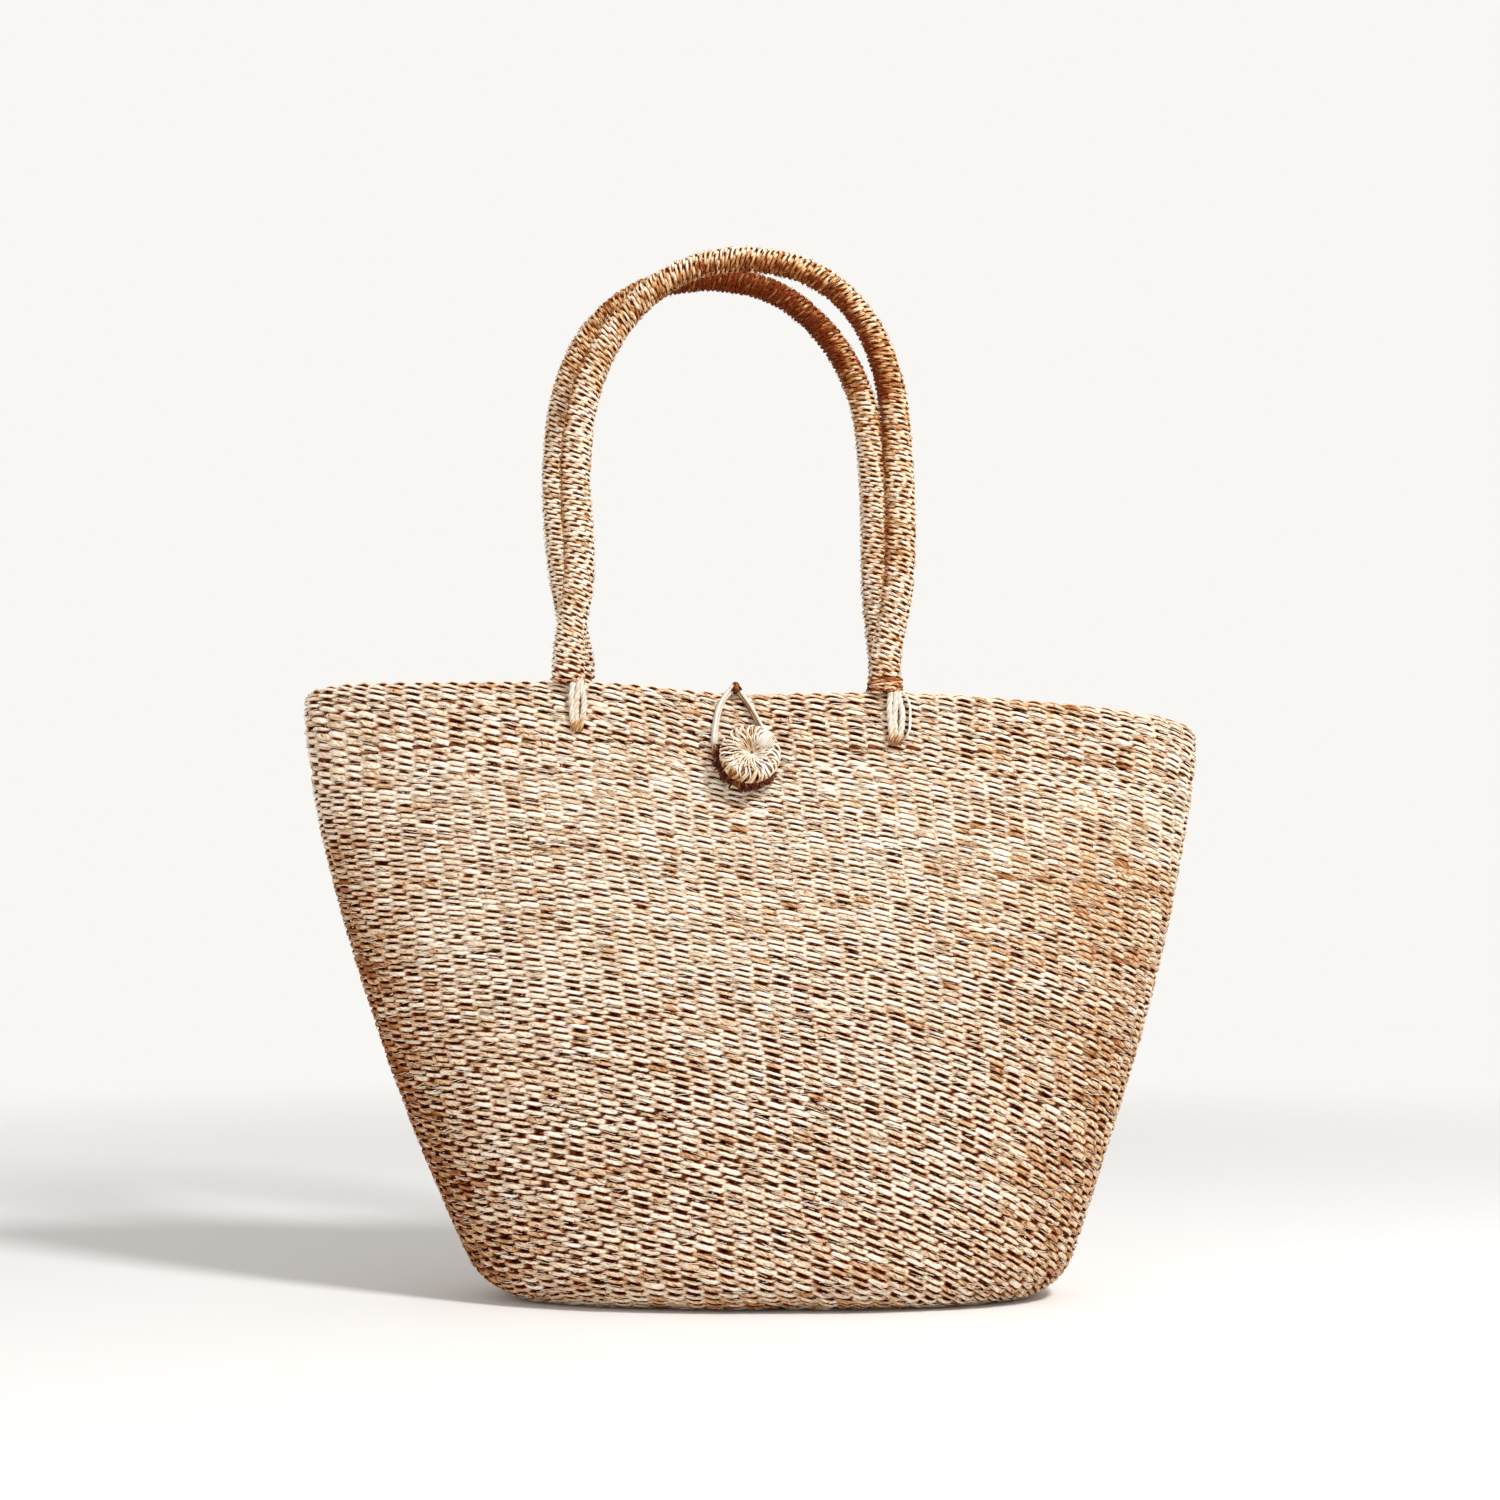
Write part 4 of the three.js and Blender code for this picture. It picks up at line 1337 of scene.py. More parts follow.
@dataclass
class Handle:
    """An arch handle: two-ply cord wound over a fibre core, with a bound foot at each end.

    Pairs of numbers are for the left and the right half. The nudges move its line sideways at the heights
    in nudge_heights.
    """

    shape: BagShape
    finishes: Finishes
    name: str
    body: Body
    side: int
    seed: int
    feet_x: tuple[float, float]
    centre: float
    half_span: float
    fullness: tuple[float, float]
    bow: tuple[float, float]
    # Painted shade at the crown; the shoulder term darkens or lightens the right shoulder.
    crown_shade: float
    shoulder_shade: float
    nudge_left: Row
    nudge_right: Row
    nudge_heights: Row = (302.0, 320.0, 335.0, 355.0, 375.0, 400.0, 432.0, 462.0, 490.0)
    spring_rise: float = 108.0
    arch_rise: float = 101.0
    arch_steps: int = 8
    lean: float = 7.0
    straight: float = 14.0
    radius: float = 7.6
    crown_radius: float = 6.3
    taper_start: float = 95.0
    taper_end: float = 225.0
    neck_dip: float = 0.3
    neck_rise: float = 28.0
    neck_reach: float = 16.0
    foot_flare: float = 0.5
    foot_reach: float = 9.0
    foot_sink: float = 1.8
    saddle_drop: float = 0.7
    saddle_reach: float = 6.0
    core_sink: float = 2.9
    core_fibres: int = 9
    row_pitch: float = 2.55
    steps_per_turn: int = 36
    lays_per_turn: float = 3.45
    crown_lays: float = 2.7
    lay_stray: float = 0.3
    cover_start: float = 0.9
    sway: float = 0.16
    swell: float = 0.1
    ply_rise: float = 0.5
    ply_aside: float = 0.55
    ply_height: float = 0.345
    ply_thick: float = 0.74
    tone: float = 0.82
    # Painted shade: in the grooves between turns, on the arch's inner side and underside, and where the two
    # handles meet.
    dash_shade: float = 0.9
    inner_side_shade: float = 0.62
    touch_shade: float = 0.55
    left_light: float = 0.12
    hairs: int = 1500

    def __post_init__(self) -> None:
        """Finds the feet, draws the line of the handle and starts the source of the random draws."""
        self.rng = np.random.default_rng(SEED + self.seed)
        self.left, self.right = (Foot.on(self.shape, x, self.side) for x in self.feet_x)
        self.spring = self.shape.rim_height + self.spring_rise
        self.line = Curve.through(self._knots())
        rise = self.side * self.lean / (self.spring_rise + self.arch_rise)
        self.sideways = unit(np.array([0.0, float(self.side), rise]))

    def _knots(self) -> Array:
        """Marks out the handle's line.

        Returns:
            Points that it passes through.
        """
        spring = self.spring
        crown = spring + self.arch_rise

        def spot(x: float, z: float, foot: Foot) -> list[float]:
            """A point of the line, leaning in as it rises."""
            rise = (z - foot.base) / (crown - foot.base)
            return [x, self.side * (foot.depth - self.lean * rise), z]

        def leg(foot: Foot, way: int, bow: float) -> list[list[float]]:
            """Points up a leg, on the left, -1, or on the right, 1."""
            middle = (foot.x + self.centre + way * self.half_span) / 2.0 + bow
            places = ((foot.x, foot.base), (foot.x, foot.base + self.straight))
            return [spot(x, z, foot) for x, z in (*places, (middle, (foot.base + spring) / 2.0))]

        spots = leg(self.left, -1, self.bow[0])
        for step in range(self.arch_steps + 1):
            angle = math.pi * (1.0 - step / self.arch_steps)
            on_right = step >= self.arch_steps // 2
            power = 2.0 / self.fullness[on_right]
            across = math.copysign(abs(math.cos(angle)) ** power, math.cos(angle))
            z = spring + self.arch_rise * abs(math.sin(angle)) ** power
            foot = self.right if on_right else self.left
            spots.append(spot(self.centre + self.half_span * across, z, foot))
        line = np.array(spots + leg(self.right, 1, self.bow[1])[::-1])
        left_nudge = np.interp(line[:, 2], self.nudge_heights, self.nudge_left)
        right_nudge = np.interp(line[:, 2], self.nudge_heights, self.nudge_right)
        line[:, 0] += np.where(line[:, 0] < self.centre, left_nudge, right_nudge)
        return line

    def _from_foot(self, distance: Array) -> Array:
        """Distances from the nearer foot."""
        return np.minimum(distance, self.line.length - distance)

    def _crown(self, distance: Array) -> Array:
        """How near the crown a distance along the line is, from 0 on the legs to 1."""
        return smoothstep(self.taper_start, self.taper_end, self._from_foot(distance))

    def _cover_radius(self, distance: Array) -> Array:
        """Outer radius of the cover.

        Args:
            distance: distances along the line.

        Returns:
            Radii in millimetres.
        """
        near = self._from_foot(distance)
        neck = self.neck_dip * hump(near, self.neck_rise, self.neck_reach)
        round_ = self.radius + (self.crown_radius - self.radius) * self._crown(distance)
        return round_ - neck + self.foot_flare * hump(near, 0.0, self.foot_reach)

    def _round(self, distance: Array, angle: Array) -> tuple[Array, Array]:
        """Directions round the line.

        Args:
            distance: distances along it.
            angle: angles round it.

        Returns:
            Outward and forward unit directions.
        """
        along = self.line.along(distance)
        across = unit(self.sideways - along * (along @ self.sideways)[:, None])
        upward = np.cross(along, across)
        return np.cos(angle)[:, None] * across + np.sin(angle)[:, None] * upward, along

    def _saddle(self, distance: Array, angle: Array) -> Array:
        """How far the foot's rows reach back over the rim, most in front of it and behind it.

        Args:
            distance: distances along the line.
            angle: angles round it.

        Returns:
            Distances back along the line.
        """
        toward = np.where(distance < self.line.length / 2.0, 1.0, -1.0)
        reach = self.foot_sink + self.saddle_drop * np.cos(angle) ** 2
        return toward * reach * hump(self._from_foot(distance), 0.0, self.saddle_reach)

    def _seated(self, distance: Array, angle: Array, reach: Array) -> tuple[Array, Array]:
        """Points off the line, drawn back over the rim at the feet.

        Args:
            distance: distances along the line.
            angle: angles round it.
            reach: distances from it.

        Returns:
            The points, and the ways that they face.
        """
        out, along = self._round(distance, angle)
        path = self.line.at(distance) + out * reach[:, None]
        return path - along * self._saddle(distance, angle)[:, None], out

    def _shade(self, distance: Array, out: Array) -> Array:
        """How much darker the fibre is painted: painted shade at the crown, deepest on the rear crown in the
        front handle's shadow, on the arch's inner side and where the handles meet; darker or lighter at the
        right shoulder, and lighter on the left leg.

        Args:
            distance: distances along the line.
            out: the ways that the fibre faces.

        Returns:
            Drops in tone.
        """
        share = distance / self.line.length
        near = self._from_foot(distance)
        middle = np.array([self.centre, 0.0, self.spring])
        radial = unit((self.line.at(distance) - middle) * np.array([1.0, 0.0, 1.0]))
        inner = -np.sum(radial * out, axis=-1)
        crown = self._crown(distance) * (0.3 + smoothstep(0.28, 0.66, share))
        crown_and_inner_shade = self.crown_shade + self.inner_side_shade * smoothstep(-0.4, 0.5, inner)
        shoulder = self.shoulder_shade * hump(share, 0.68, 0.1)
        touch = self.touch_shade * smoothstep(0.4, 0.95, self.side * out[:, 0])
        touch = touch * smoothstep(20.0, 60.0, near) * (1.0 - smoothstep(150.0, 220.0, near))
        return crown_and_inner_shade * crown + shoulder + touch - self.left_light * smoothstep(0.32, 0.2, share)

    def build(self) -> None:
        """Builds and dresses the cover, the core and the hairs."""
        self._cover()
        self._core()
        self._hairs()

    def _cover(self) -> None:
        """Winds the cord round the core, turn beside turn."""
        rng = self.rng
        bundle = Bundle(sides=6, folds=22, twist=0.3)
        turns = (self.line.length - 2.0 * self.cover_start) / self.row_pitch
        count = np.arange(int(turns * self.steps_per_turn) + 1) / self.steps_per_turn
        marks = np.arange(int(turns) + 2)
        sway = np.interp(count, marks, rng.normal(0.0, self.sway, len(marks)))
        swell = np.interp(count, marks, rng.normal(0.0, self.swell, len(marks)))
        turn_tone = np.interp(count, marks, rng.normal(0.0, 0.08, len(marks)))
        stray = np.cumsum(rng.normal(0.0, self.lay_stray, len(marks)))
        angle = -TURN * count
        advance = self.cover_start + count * self.row_pitch
        lays = self.lays_per_turn + (self.crown_lays - self.lays_per_turn) * self._crown(advance)
        lay = np.cumsum(lays) / self.steps_per_turn + np.interp(count, marks, stray)
        dash = np.floor(lay * 2.0).astype(int)
        dash = dash - dash.min()
        dashes = dash.max() + 1
        flank = smoothstep(0.4, 0.95, np.abs(np.cos(bundle.corners)))[None, :]
        for ply in range(2):
            twist = TURN * lay + ply * math.pi
            distance = np.clip(advance + (np.sin(twist) * self.ply_aside + sway), 0.0, self.line.length)
            reach = self._cover_radius(distance) - self.ply_thick + swell
            reach = reach + self.ply_rise * (np.cos(twist) - 1.0)
            path, out = self._seated(distance, angle, reach)
            half = self.ply_height * self.row_pitch * (1.0 + rng.normal(0.0, 0.14, dashes)[dash])
            crest = np.cos(twist)[:, None]
            # Painted shade in the grooves between turns and on the faces turned to the core.
            dark = np.maximum(flank * smoothstep(0.0, 0.8, crest), smoothstep(0.1, 0.8, -crest))
            open_face = np.where(np.sin(bundle.corners) < -0.3, 0.15, 1.0 - self.dash_shade * dark)
            tone = self.tone + turn_tone + rng.normal(0.0, 0.12, dashes)[dash]
            tone = tone - 0.25 * (rng.random(dashes) < 0.04)[dash]
            tone = tone - self._shade(distance, out)
            bundle.strand(path, out, half, self.ply_thick, np.clip(tone, -0.5, 1.0), open_face)
        bundle.settle(f"{self.name}_cover", self.finishes.handle, self.body, f"{self.name}_wrap")

    def _core(self) -> None:
        """Lays the core's fibres and binds its two feet."""
        bundle = Bundle(sides=5)
        distance = np.linspace(0.3, self.line.length - 0.3, 130)
        reach = self._cover_radius(distance) - self.core_sink
        for fibre in range(self.core_fibres):
            angle = np.full(len(distance), TURN * fibre / self.core_fibres)
            out, _ = self._round(distance, angle)
            path = self.line.at(distance) + out * reach[:, None]
            # The core's low depth paints it as shaded under the cover.
            bundle.strand(path, out, 2.4, 1.5, self.rng.uniform(0.25, 0.6), 0.45)
        self._bind_foot(bundle, 1.0, 2)
        self._bind_foot(bundle, -1.0, 14)
        bundle.settle(f"{self.name}_fibres", self.finishes.core, self.body, f"{self.name}_core")

    def _bind_foot(self, bundle: Bundle, inward: float, turns: int) -> None:
        """Binds a foot with crossing turns of brown cord.

        Args:
            bundle: where the turns go.
            inward: 1 at the left foot, -1 at the right one.
            turns: how many turns.
        """
        rng = self.rng
        foot = 0.0 if inward > 0.0 else self.line.length
        sweep = np.linspace(0.0, 1.0, 31)
        tuck = 1.4 * np.abs(2.0 * sweep - 1.0) ** 6
        for turn in range(turns):
            first = rng.uniform(0.0, TURN)
            angle = first + sweep * rng.uniform(2.4, 5.2)
            level = 0.5 + 5.2 * (turn + 0.5) / turns if turns > 2 else 0.5 + 0.5 * turn
            rise = level + rng.uniform(-2.6, 2.6) * (sweep - 0.5) * min(turns / 3.0, 1.0)
            distance = foot + inward * np.maximum(rise, 0.15)
            reach = self._cover_radius(distance) - 0.05 - tuck + rng.uniform(-0.1, 0.25)
            path, out = self._seated(distance, angle, reach)
            tone = rng.uniform(0.15, 1.0) + rng.normal(0.0, 0.16, len(sweep))
            bundle.strand(path, out, rng.uniform(0.4, 0.75), 0.5, clipped(tone), 0.95)

    def _hairs(self) -> None:
        """Frays the cover with short fibres, one end of each a little off it."""
        rng = self.rng
        bundle = Bundle(sides=3)
        sweep = np.linspace(0.0, 1.0, 4)
        clear = 6.0
        fibres = []
        for _ in range(self.hairs):
            long = rng.uniform(2.0, 4.5)
            angle = rng.uniform(0.0, TURN) - sweep * long / self.radius
            distance = rng.uniform(clear, self.line.length - clear) + sweep * long * rng.normal(0.2, 0.25)
            out, _ = self._round(distance, angle)
            reach = self._cover_radius(distance) - 0.1 + rng.uniform(0.1, 0.7) * sweep**2
            path = self.line.at(distance) + out * reach[:, None]
            # Each hair takes the painted shade of the cover under it.
            tone = float(rng.normal(0.7, 0.25) - self._shade(distance, out)[1])
            fibres.append((min(max(tone, -0.5), 1.0), rng.uniform(0.1, 0.2), path, out))
        for tone, half, path, out in sorted(fibres, key=lambda fibre: fibre[0]):
            bundle.strand(path, out, half, 0.1, tone)
        bundle.settle(f"{self.name}_hairs", self.finishes.handle, self.body)


@dataclass
class Lashing:
    """Pale cord wound three times through a handle's foot and the hem."""

    shape: BagShape
    finishes: Finishes
    name: str
    foot: Foot
    handle: Body
    seed: int
    drop: float
    aside: float
    stray: float
    radius: float = 1.2
    pitch: float = 2.9
    turns: int = 3
    gap: float = 0.4
    eye_rise: float = -1.0
    foot_reach: float = 6.4
    bend: float = 1.9
    ply_offset: float = 0.72
    ply_radius: float = 0.86
    plies: int = 3
    twist: float = 13.0
    waver: float = 0.5
    blend_reach: float = 4.0
    stray_spots: tuple = ((24.0, 0.6), (20.0, 0.9), (13.0, 1.0), (6.0, 0.95), (1.5, 0.6), (-0.4, 0.2))

    def build(self) -> None:
        """Winds the cord."""
        rng = np.random.default_rng(SEED + self.seed)
        path = self._path()
        bundle = Bundle(sides=6, folds=6)
        low, high = path[:, 2].min(), path[:, 2].max()
        share = (path[:, 2] - low) / (high - low)
        pale = 0.76 - 0.55 * hump(share, 0.02, 0.13) - 0.2 * smoothstep(0.93, 1.0, share)
        tones = tuple(clipped(pale + rng.normal(0.0, 0.04, len(path))) for _ in range(self.plies))
        outward = np.array([1.0, 0.05, 0.02])
        plied(bundle, path, outward, self.ply_offset, self.ply_radius, self.twist, tones)
        if self.stray:
            self._stray_strand(bundle)
        piece = bundle.build(f"{self.name}_cord", self.finishes.pale)
        rim = self.foot.base - FOOT_GAP
        x, y = self.foot.x * MM, self.foot.side * self.foot.depth * MM
        start = (x, y, (rim - self.blend_reach) * MM)
        end = (x, y, (rim + self.blend_reach) * MM)
        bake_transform(piece)
        dress(piece, self.finishes.pale, self.name)

    def _stray_strand(self, bundle: Bundle) -> None:
        """Lays the thin strand that has strayed to one side of the winding.

        Args:
            bundle: where the strand goes.
        """
        spots = []
        for drop, aside in self.stray_spots:
            share = self.shape.below_rim(drop)
            x = self.foot.x + self.aside + aside * self.stray
            out = self.shape.depth_at(x, min(share, 1.0)) + (1.6 if 0.0 < drop < 23.0 else -0.6)
            spots.append([x, self.foot.side * out, self.shape.height_at(x, share)])
        path = resample(np.array(spots), 1.2)
        bundle.strand(path, np.array([0.0, float(self.foot.side), 0.2]), 0.62, 0.55, 0.8, 0.95)

    def _corners(self) -> Array:
        """Finds the corners of one turn.

        Returns:
            Their depths and heights.
        """
        share = self.shape.below_rim(self.drop)
        x = self.foot.x
        hem = self.shape.height_at(x, share)
        offset = self.radius + self.gap
        outer = self.shape.depth_at(x, share) + offset
        inner = self.shape.depth_at(x, share, self.shape.rim_thickness) - offset
        eye = self.foot.base + self.eye_rise
        near, far = self.foot.depth - self.foot_reach, self.foot.depth + self.foot_reach
        return np.array([[inner, hem], [outer, hem], [far, eye], [near, eye]])

    def _turn(self) -> Array:
        """Rounds the corners of one turn.

        Returns:
            Its depths and heights.
        """
        corners = self._corners()
        points = []
        for index, corner in enumerate(corners):
            following = corners[(index + 1) % len(corners)]
            back = unit(corners[index - 1] - corner)
            ahead = unit(following - corner)
            for share in np.linspace(0.0, 1.0, 6):
                first = corner + back * self.bend * (1.0 - share)
                last = corner + ahead * self.bend * share
                points.append(first * (1.0 - share) + last * share)
            here, there = points[-1], following - ahead * self.bend
            for share in np.linspace(0.0, 1.0, 7)[1:-1]:
                points.append(here * (1.0 - share) + there * share)
        return np.array(points)

    def _path(self) -> Array:
        """Winds the turns, moving on along the rim on the inside of each.

        Returns:
            Centres of the cord in millimetres.
        """
        turn = self._turn()
        crossing_steps = 5
        points = []
        for index in range(len(turn) * self.turns - 1):
            done, step = divmod(index, len(turn))
            crossing = max(step - (len(turn) - crossing_steps), 0) / crossing_steps
            wind = done + crossing - (self.turns - 1) / 2.0
            rise = (turn[step][1] - turn[:, 1].min()) / np.ptp(turn[:, 1])
            spread = 0.62 + 0.38 * math.sin(math.pi * min(0.12 + rise, 1.0) ** 1.2)
            waver = self.waver * math.sin(TURN * (0.9 * rise + 0.37 * done))
            x = self.foot.x + wind * self.pitch * spread + self.aside + waver
            points.append([x, self.foot.side * turn[step][0], turn[step][1]])
        return resample(np.array(points), 1.3)


@dataclass
class Button:
    """Rosette of fibre wound over a pad, on a shank that is knotted inside.

    A petal is its middle angle, half its spread, in degrees, and its rise. A dimple is a place on the face,
    its size and how dark its painted shade is.
    """

    shape: BagShape
    finishes: Finishes
    seed: int = 71
    drop: float = 33.8
    radius: float = 15.0
    thickness: float = 10.0
    dimple: float = 2.4
    standoff: float = 3.4
    strands: int = 54
    under_strands: int = 34
    skin: float = 0.9
    eye_radius: float = 0.8
    eye_shift: float = 0.8
    petals: tuple[Spot, ...] = (
        (-78.0, 42.0, 0.9), (-10.0, 25.0, 0.3), (40.0, 24.0, 0.4), (112.0, 45.0, 0.5), (196.0, 41.0, 0.3)
    )
    dimples: tuple = ((-1.5, 4.0, 2.2, 0.62), (3.4, 2.6, 2.0, 0.5), (0.6, 0.6, 1.1, 0.3))
    lobe_place: tuple[float, float] = (7.4, 5.0)
    lobe_radius: float = 4.3
    lobe_strands: int = 13
    frays: int = 90
    fringes: int = 150
    knot_level: float = -9.0
    knot_strands: int = 6

    def __post_init__(self) -> None:
        """Finds the button's place, square to the wall, and starts the source of the random draws."""
        self.rng = np.random.default_rng(SEED + self.seed)
        shape = self.shape
        share = shape.below_rim(self.drop)
        step = 1.0 / shape.rim_height
        fall = shape.depth_at(0.0, share - step) - shape.depth_at(0.0, share + step)
        rise = shape.height_at(0.0, share + step) - shape.height_at(0.0, share - step)
        tilt = math.atan2(fall, rise)
        self.origin = np.array([0.0, -shape.depth_at(0.0, share), shape.height_at(0.0, share)])
        self.right = np.array([1.0, 0.0, 0.0])
        self.up = np.array([0.0, math.sin(tilt), math.cos(tilt)])
        self.out = np.array([0.0, -math.cos(tilt), math.sin(tilt)])

    def _world(self, x: Amount, y: Amount, z: Amount) -> Array:
        """Points from places across, up and out of the wall."""
        x, y, z = np.broadcast_arrays(x, y, z)
        return self.origin + x[..., None] * self.right + y[..., None] * self.up + z[..., None] * self.out

    def _on_head(self, radius: Array, angle: Array, level: Array) -> Array:
        """Points at radii, angles and levels on the head."""
        return self._world(radius * np.cos(angle), radius * np.sin(angle), self.standoff + level)

    def build(self) -> None:
        """Builds and dresses the head, its dark fringe that also paints its shadow, the shank and the knot.
        """
        self._head()
        self._shadow_fringe()
        self._shank()
        self._knot()

    def _head(self) -> None:
        """Winds the rosette's strands in petals, from its dimple over the edge to the back."""
        rng = self.rng
        bundle = Bundle(sides=6, twist=0.2)
        for strand in range(self.under_strands):
            angle = TURN * (strand + rng.normal(0.0, 0.15)) / self.under_strands
            # Under strands are darker, painted shade beneath the petals, and darker still low down.
            tone = 0.42 + 0.2 * math.sin(angle) + rng.normal(0.0, 0.08)
            self._ray(bundle, angle, -1.1, 1.2, tone, 0.7)
        for middle, half, rise in self.petals:
            count = round(half / 180.0 * self.strands)
            for lane in (np.arange(count) - (count - 1) / 2.0) / (count / 2.0):
                angle = math.radians(middle + half * lane) + rng.normal(0.0, 0.025)
                level = rise * (1.0 - lane * lane) - 0.8 * lane**4 + rng.normal(0.0, 0.26)
                # Painted shade: strands at a petal's edges are darker, in the gaps between petals.
                tone = 0.86 - 0.26 * lane**4 + rng.normal(0.0, 0.12)
                self._ray(bundle, angle, level, rng.uniform(0.6, 1.1), tone, 1.0, rng.uniform(0.0, 6.3))
        self._lobe(bundle)
        self._fray(bundle)
        bundle.settle("button_rosette", self.finishes.button, Body.BASKET, "button_head")

    def _ray(
        self,
        bundle: Bundle,
        angle: float,
        rise: float,
        width: float,
        tone: float,
        depth: float,
        curl: float = 0.0,
    ) -> None:
        """Lays one strand from the dimple out, over the edge and in behind.

        Args:
            bundle: where the strand goes.
            angle: its direction on the face.
            rise: how far it stands above the pad.
            width: its width as a share of the usual one.
            tone: from 0, dark, to 1, pale.
            depth: from 0 in a crevice to 1 in the open, painted as shade.
            curl: where on its waves the strand starts.
        """
        sweep = np.linspace(0.0, 1.0, 24)
        turn_at = 0.45
        edge = self.thickness / 2.0
        ring = self.radius - edge
        flat = np.minimum(sweep / turn_at, 1.0)
        bend = math.pi * clipped((sweep - turn_at) / (1.0 - turn_at))
        face = 1.0 - bend / math.pi
        on_face = sweep < turn_at
        on_edge = ring + (edge - self.skin) * np.sin(bend)
        reach = np.where(on_face, self.eye_radius + (ring - self.eye_radius) * flat, on_edge)
        dip = self.dimple * (1.0 - smoothstep(0.0, 0.6, flat))
        over_edge = edge + (edge - self.skin) * np.cos(bend)
        level = np.where(on_face, self.thickness - self.skin - dip, over_edge)
        level = level + rise * clipped(flat * 1.4) * face
        level = level + 0.3 * flat * np.sin(17.0 * sweep + 2.0 * curl)
        swirl = angle + 0.3 * flat - 0.1 * bend + 0.07 * flat * np.sin(11.0 * sweep + curl)
        x = reach * np.cos(swirl) + self.eye_shift * (1.0 - flat)
        y = reach * np.sin(swirl)
        path = self._world(x, y, self.standoff + level)
        away = unit(path - self._world(0.0, 0.0, self.standoff + edge)) + self.out * face[:, None]
        wide = np.clip(math.pi * reach / self.strands * 1.15, 0.34, 1.0) * width
        shade = np.full(len(sweep), tone)
        # Painted shade: in the dimples, on the lower and lower-left rim, and on the back where the strands
        # turn under.
        for spot_x, spot_y, size, dark in self.dimples:
            shade = shade - dark * np.exp(-((x - spot_x) ** 2 + (y - spot_y) ** 2) / size**2) * on_face
        shade = shade - 0.34 * smoothstep(8.0, 13.5, -y) - 0.4 * smoothstep(9.0, 14.0, -0.8 * x - 0.6 * y)
        shade = clipped(shade - 0.4 * smoothstep(0.72, 0.95, sweep))
        bundle.strand(path, away, wide, 0.62, shade, bundle.flanks(0.12, depth))

    def _lobe(self, bundle: Bundle) -> None:
        """Tucks the folded lobe into the rosette's upper right.

        Args:
            bundle: where the strands go.
        """
        sweep = np.linspace(-1.0, 1.0, 15)
        half = (self.lobe_strands - 1) / 2.0
        top = self.standoff + self.thickness - 1.5
        for strand in range(self.lobe_strands):
            lane = (strand - half) / half
            wide = math.sqrt(max(1.0 - lane * lane * 0.92, 0.04))
            along = sweep * self.lobe_radius * wide
            aside = lane * self.lobe_radius * 0.92
            x = self.lobe_place[0] + 0.55 * along - 0.83 * aside
            y = self.lobe_place[1] + 0.83 * along + 0.55 * aside
            bulge = np.sqrt(np.maximum(1.0 - sweep * sweep, 0.0)) * 3.0 * wide
            path = self._world(x, y, top + bulge + self.rng.normal(0.0, 0.12))
            # Painted shade at the lobe's ends, where it tucks under.
            tone = clipped(0.92 - 0.35 * np.abs(sweep) ** 4 + self.rng.normal(0.0, 0.07))
            bundle.strand(path, self.out, 0.36, 0.5, tone, bundle.flanks(0.1, 1.0))

    def _fray(self, bundle: Bundle) -> None:
        """Frays the rosette with pale hairs.

        Args:
            bundle: where the strands go.
        """
        rng = self.rng
        for _ in range(self.frays):
            angle = rng.uniform(0.0, TURN) + np.array([0.0, 0.04, 0.09, 0.14]) * rng.normal(0.0, 1.5)
            start = rng.uniform(3.0, self.radius - 4.0)
            radius = start + np.array([0.0, 1.2, 2.4, 3.6]) * rng.uniform(0.6, 1.3)
            level = self.thickness - 0.6 - 0.35 * np.maximum(radius - self.radius + 5.0, 0.0) ** 1.5
            level = level + np.array([-0.2, 0.25, 0.45, 0.5]) * rng.uniform(0.5, 1.5)
            path = self._on_head(radius, angle, level)
            bundle.strand(path, self.out, 0.24, 0.2, rng.uniform(0.3, 1.0))

    def _shadow_fringe(self) -> None:
        """Lets dark fibre ends stand out below the head and to its left; their dark tone also paints the
        button's shadow on the wall.
        """
        rng = self.rng
        bundle = Bundle(sides=5)
        for _ in range(self.fringes):
            lean = rng.beta(1.6, 1.6)
            middle = math.radians(160.0 + 165.0 * lean)
            reach = self.radius + rng.uniform(0.2, 1.0 + 2.6 * math.sin(math.pi * min(0.15 + lean, 1.0)))
            angle = middle + rng.normal(0.0, 0.06) + np.array([0.0, 0.02, 0.05, 0.09]) * rng.normal(0.5, 1.2)
            radius = np.array([self.radius - 5.0, self.radius - 2.0, self.radius - 0.3, reach])
            top = rng.uniform(0.3, 4.5)
            level = np.maximum(np.array([top, top + 0.4, top, top - 1.2]), 0.8 - self.standoff)
            # Painted shadow: the ends are almost black.
            tone = np.clip(rng.normal(0.08, 0.18), 0.0, 0.8)
            bundle.strand(self._on_head(radius, angle, level), self.out, 0.5, 0.36, tone, 0.8)
        bundle.settle("button_fringe_shadow", self.finishes.bound, Body.BASKET)

    def _shank(self) -> None:
        """Twists the shank between the head and the knot."""
        bundle = Bundle(sides=6)
        path = self._world(0.0, 0.0, np.linspace(-5.6, self.standoff + 1.5, 14))
        plied(bundle, path, self.right, 0.95, 1.0, 9.0, (0.5, 0.42, 0.55))
        bundle.settle("button_shank_ply", self.finishes.core, Body.BASKET, "button_shank")

    def _knot(self) -> None:
        """Winds the knot that holds the shank inside."""
        bundle = Bundle(sides=6)
        sweep = np.linspace(0.0, TURN, 33)
        for strand in range(self.knot_strands):
            tilt = math.pi * strand / self.knot_strands
            x = 4.5 * np.cos(sweep)
            y = 1.9 * np.sin(sweep) * math.cos(tilt)
            z = self.knot_level + 2.0 * np.sin(sweep) * math.sin(tilt)
            path = self._world(x, y, z)
            away = path - self._world(0.0, 0.0, self.knot_level) + self.out * 0.01
            bundle.strand(path, away, 0.75, 0.55, self.rng.uniform(0.4, 0.65), 0.9)
        bundle.settle("button_knot_turns", self.finishes.core, Body.BASKET, "button_knot")


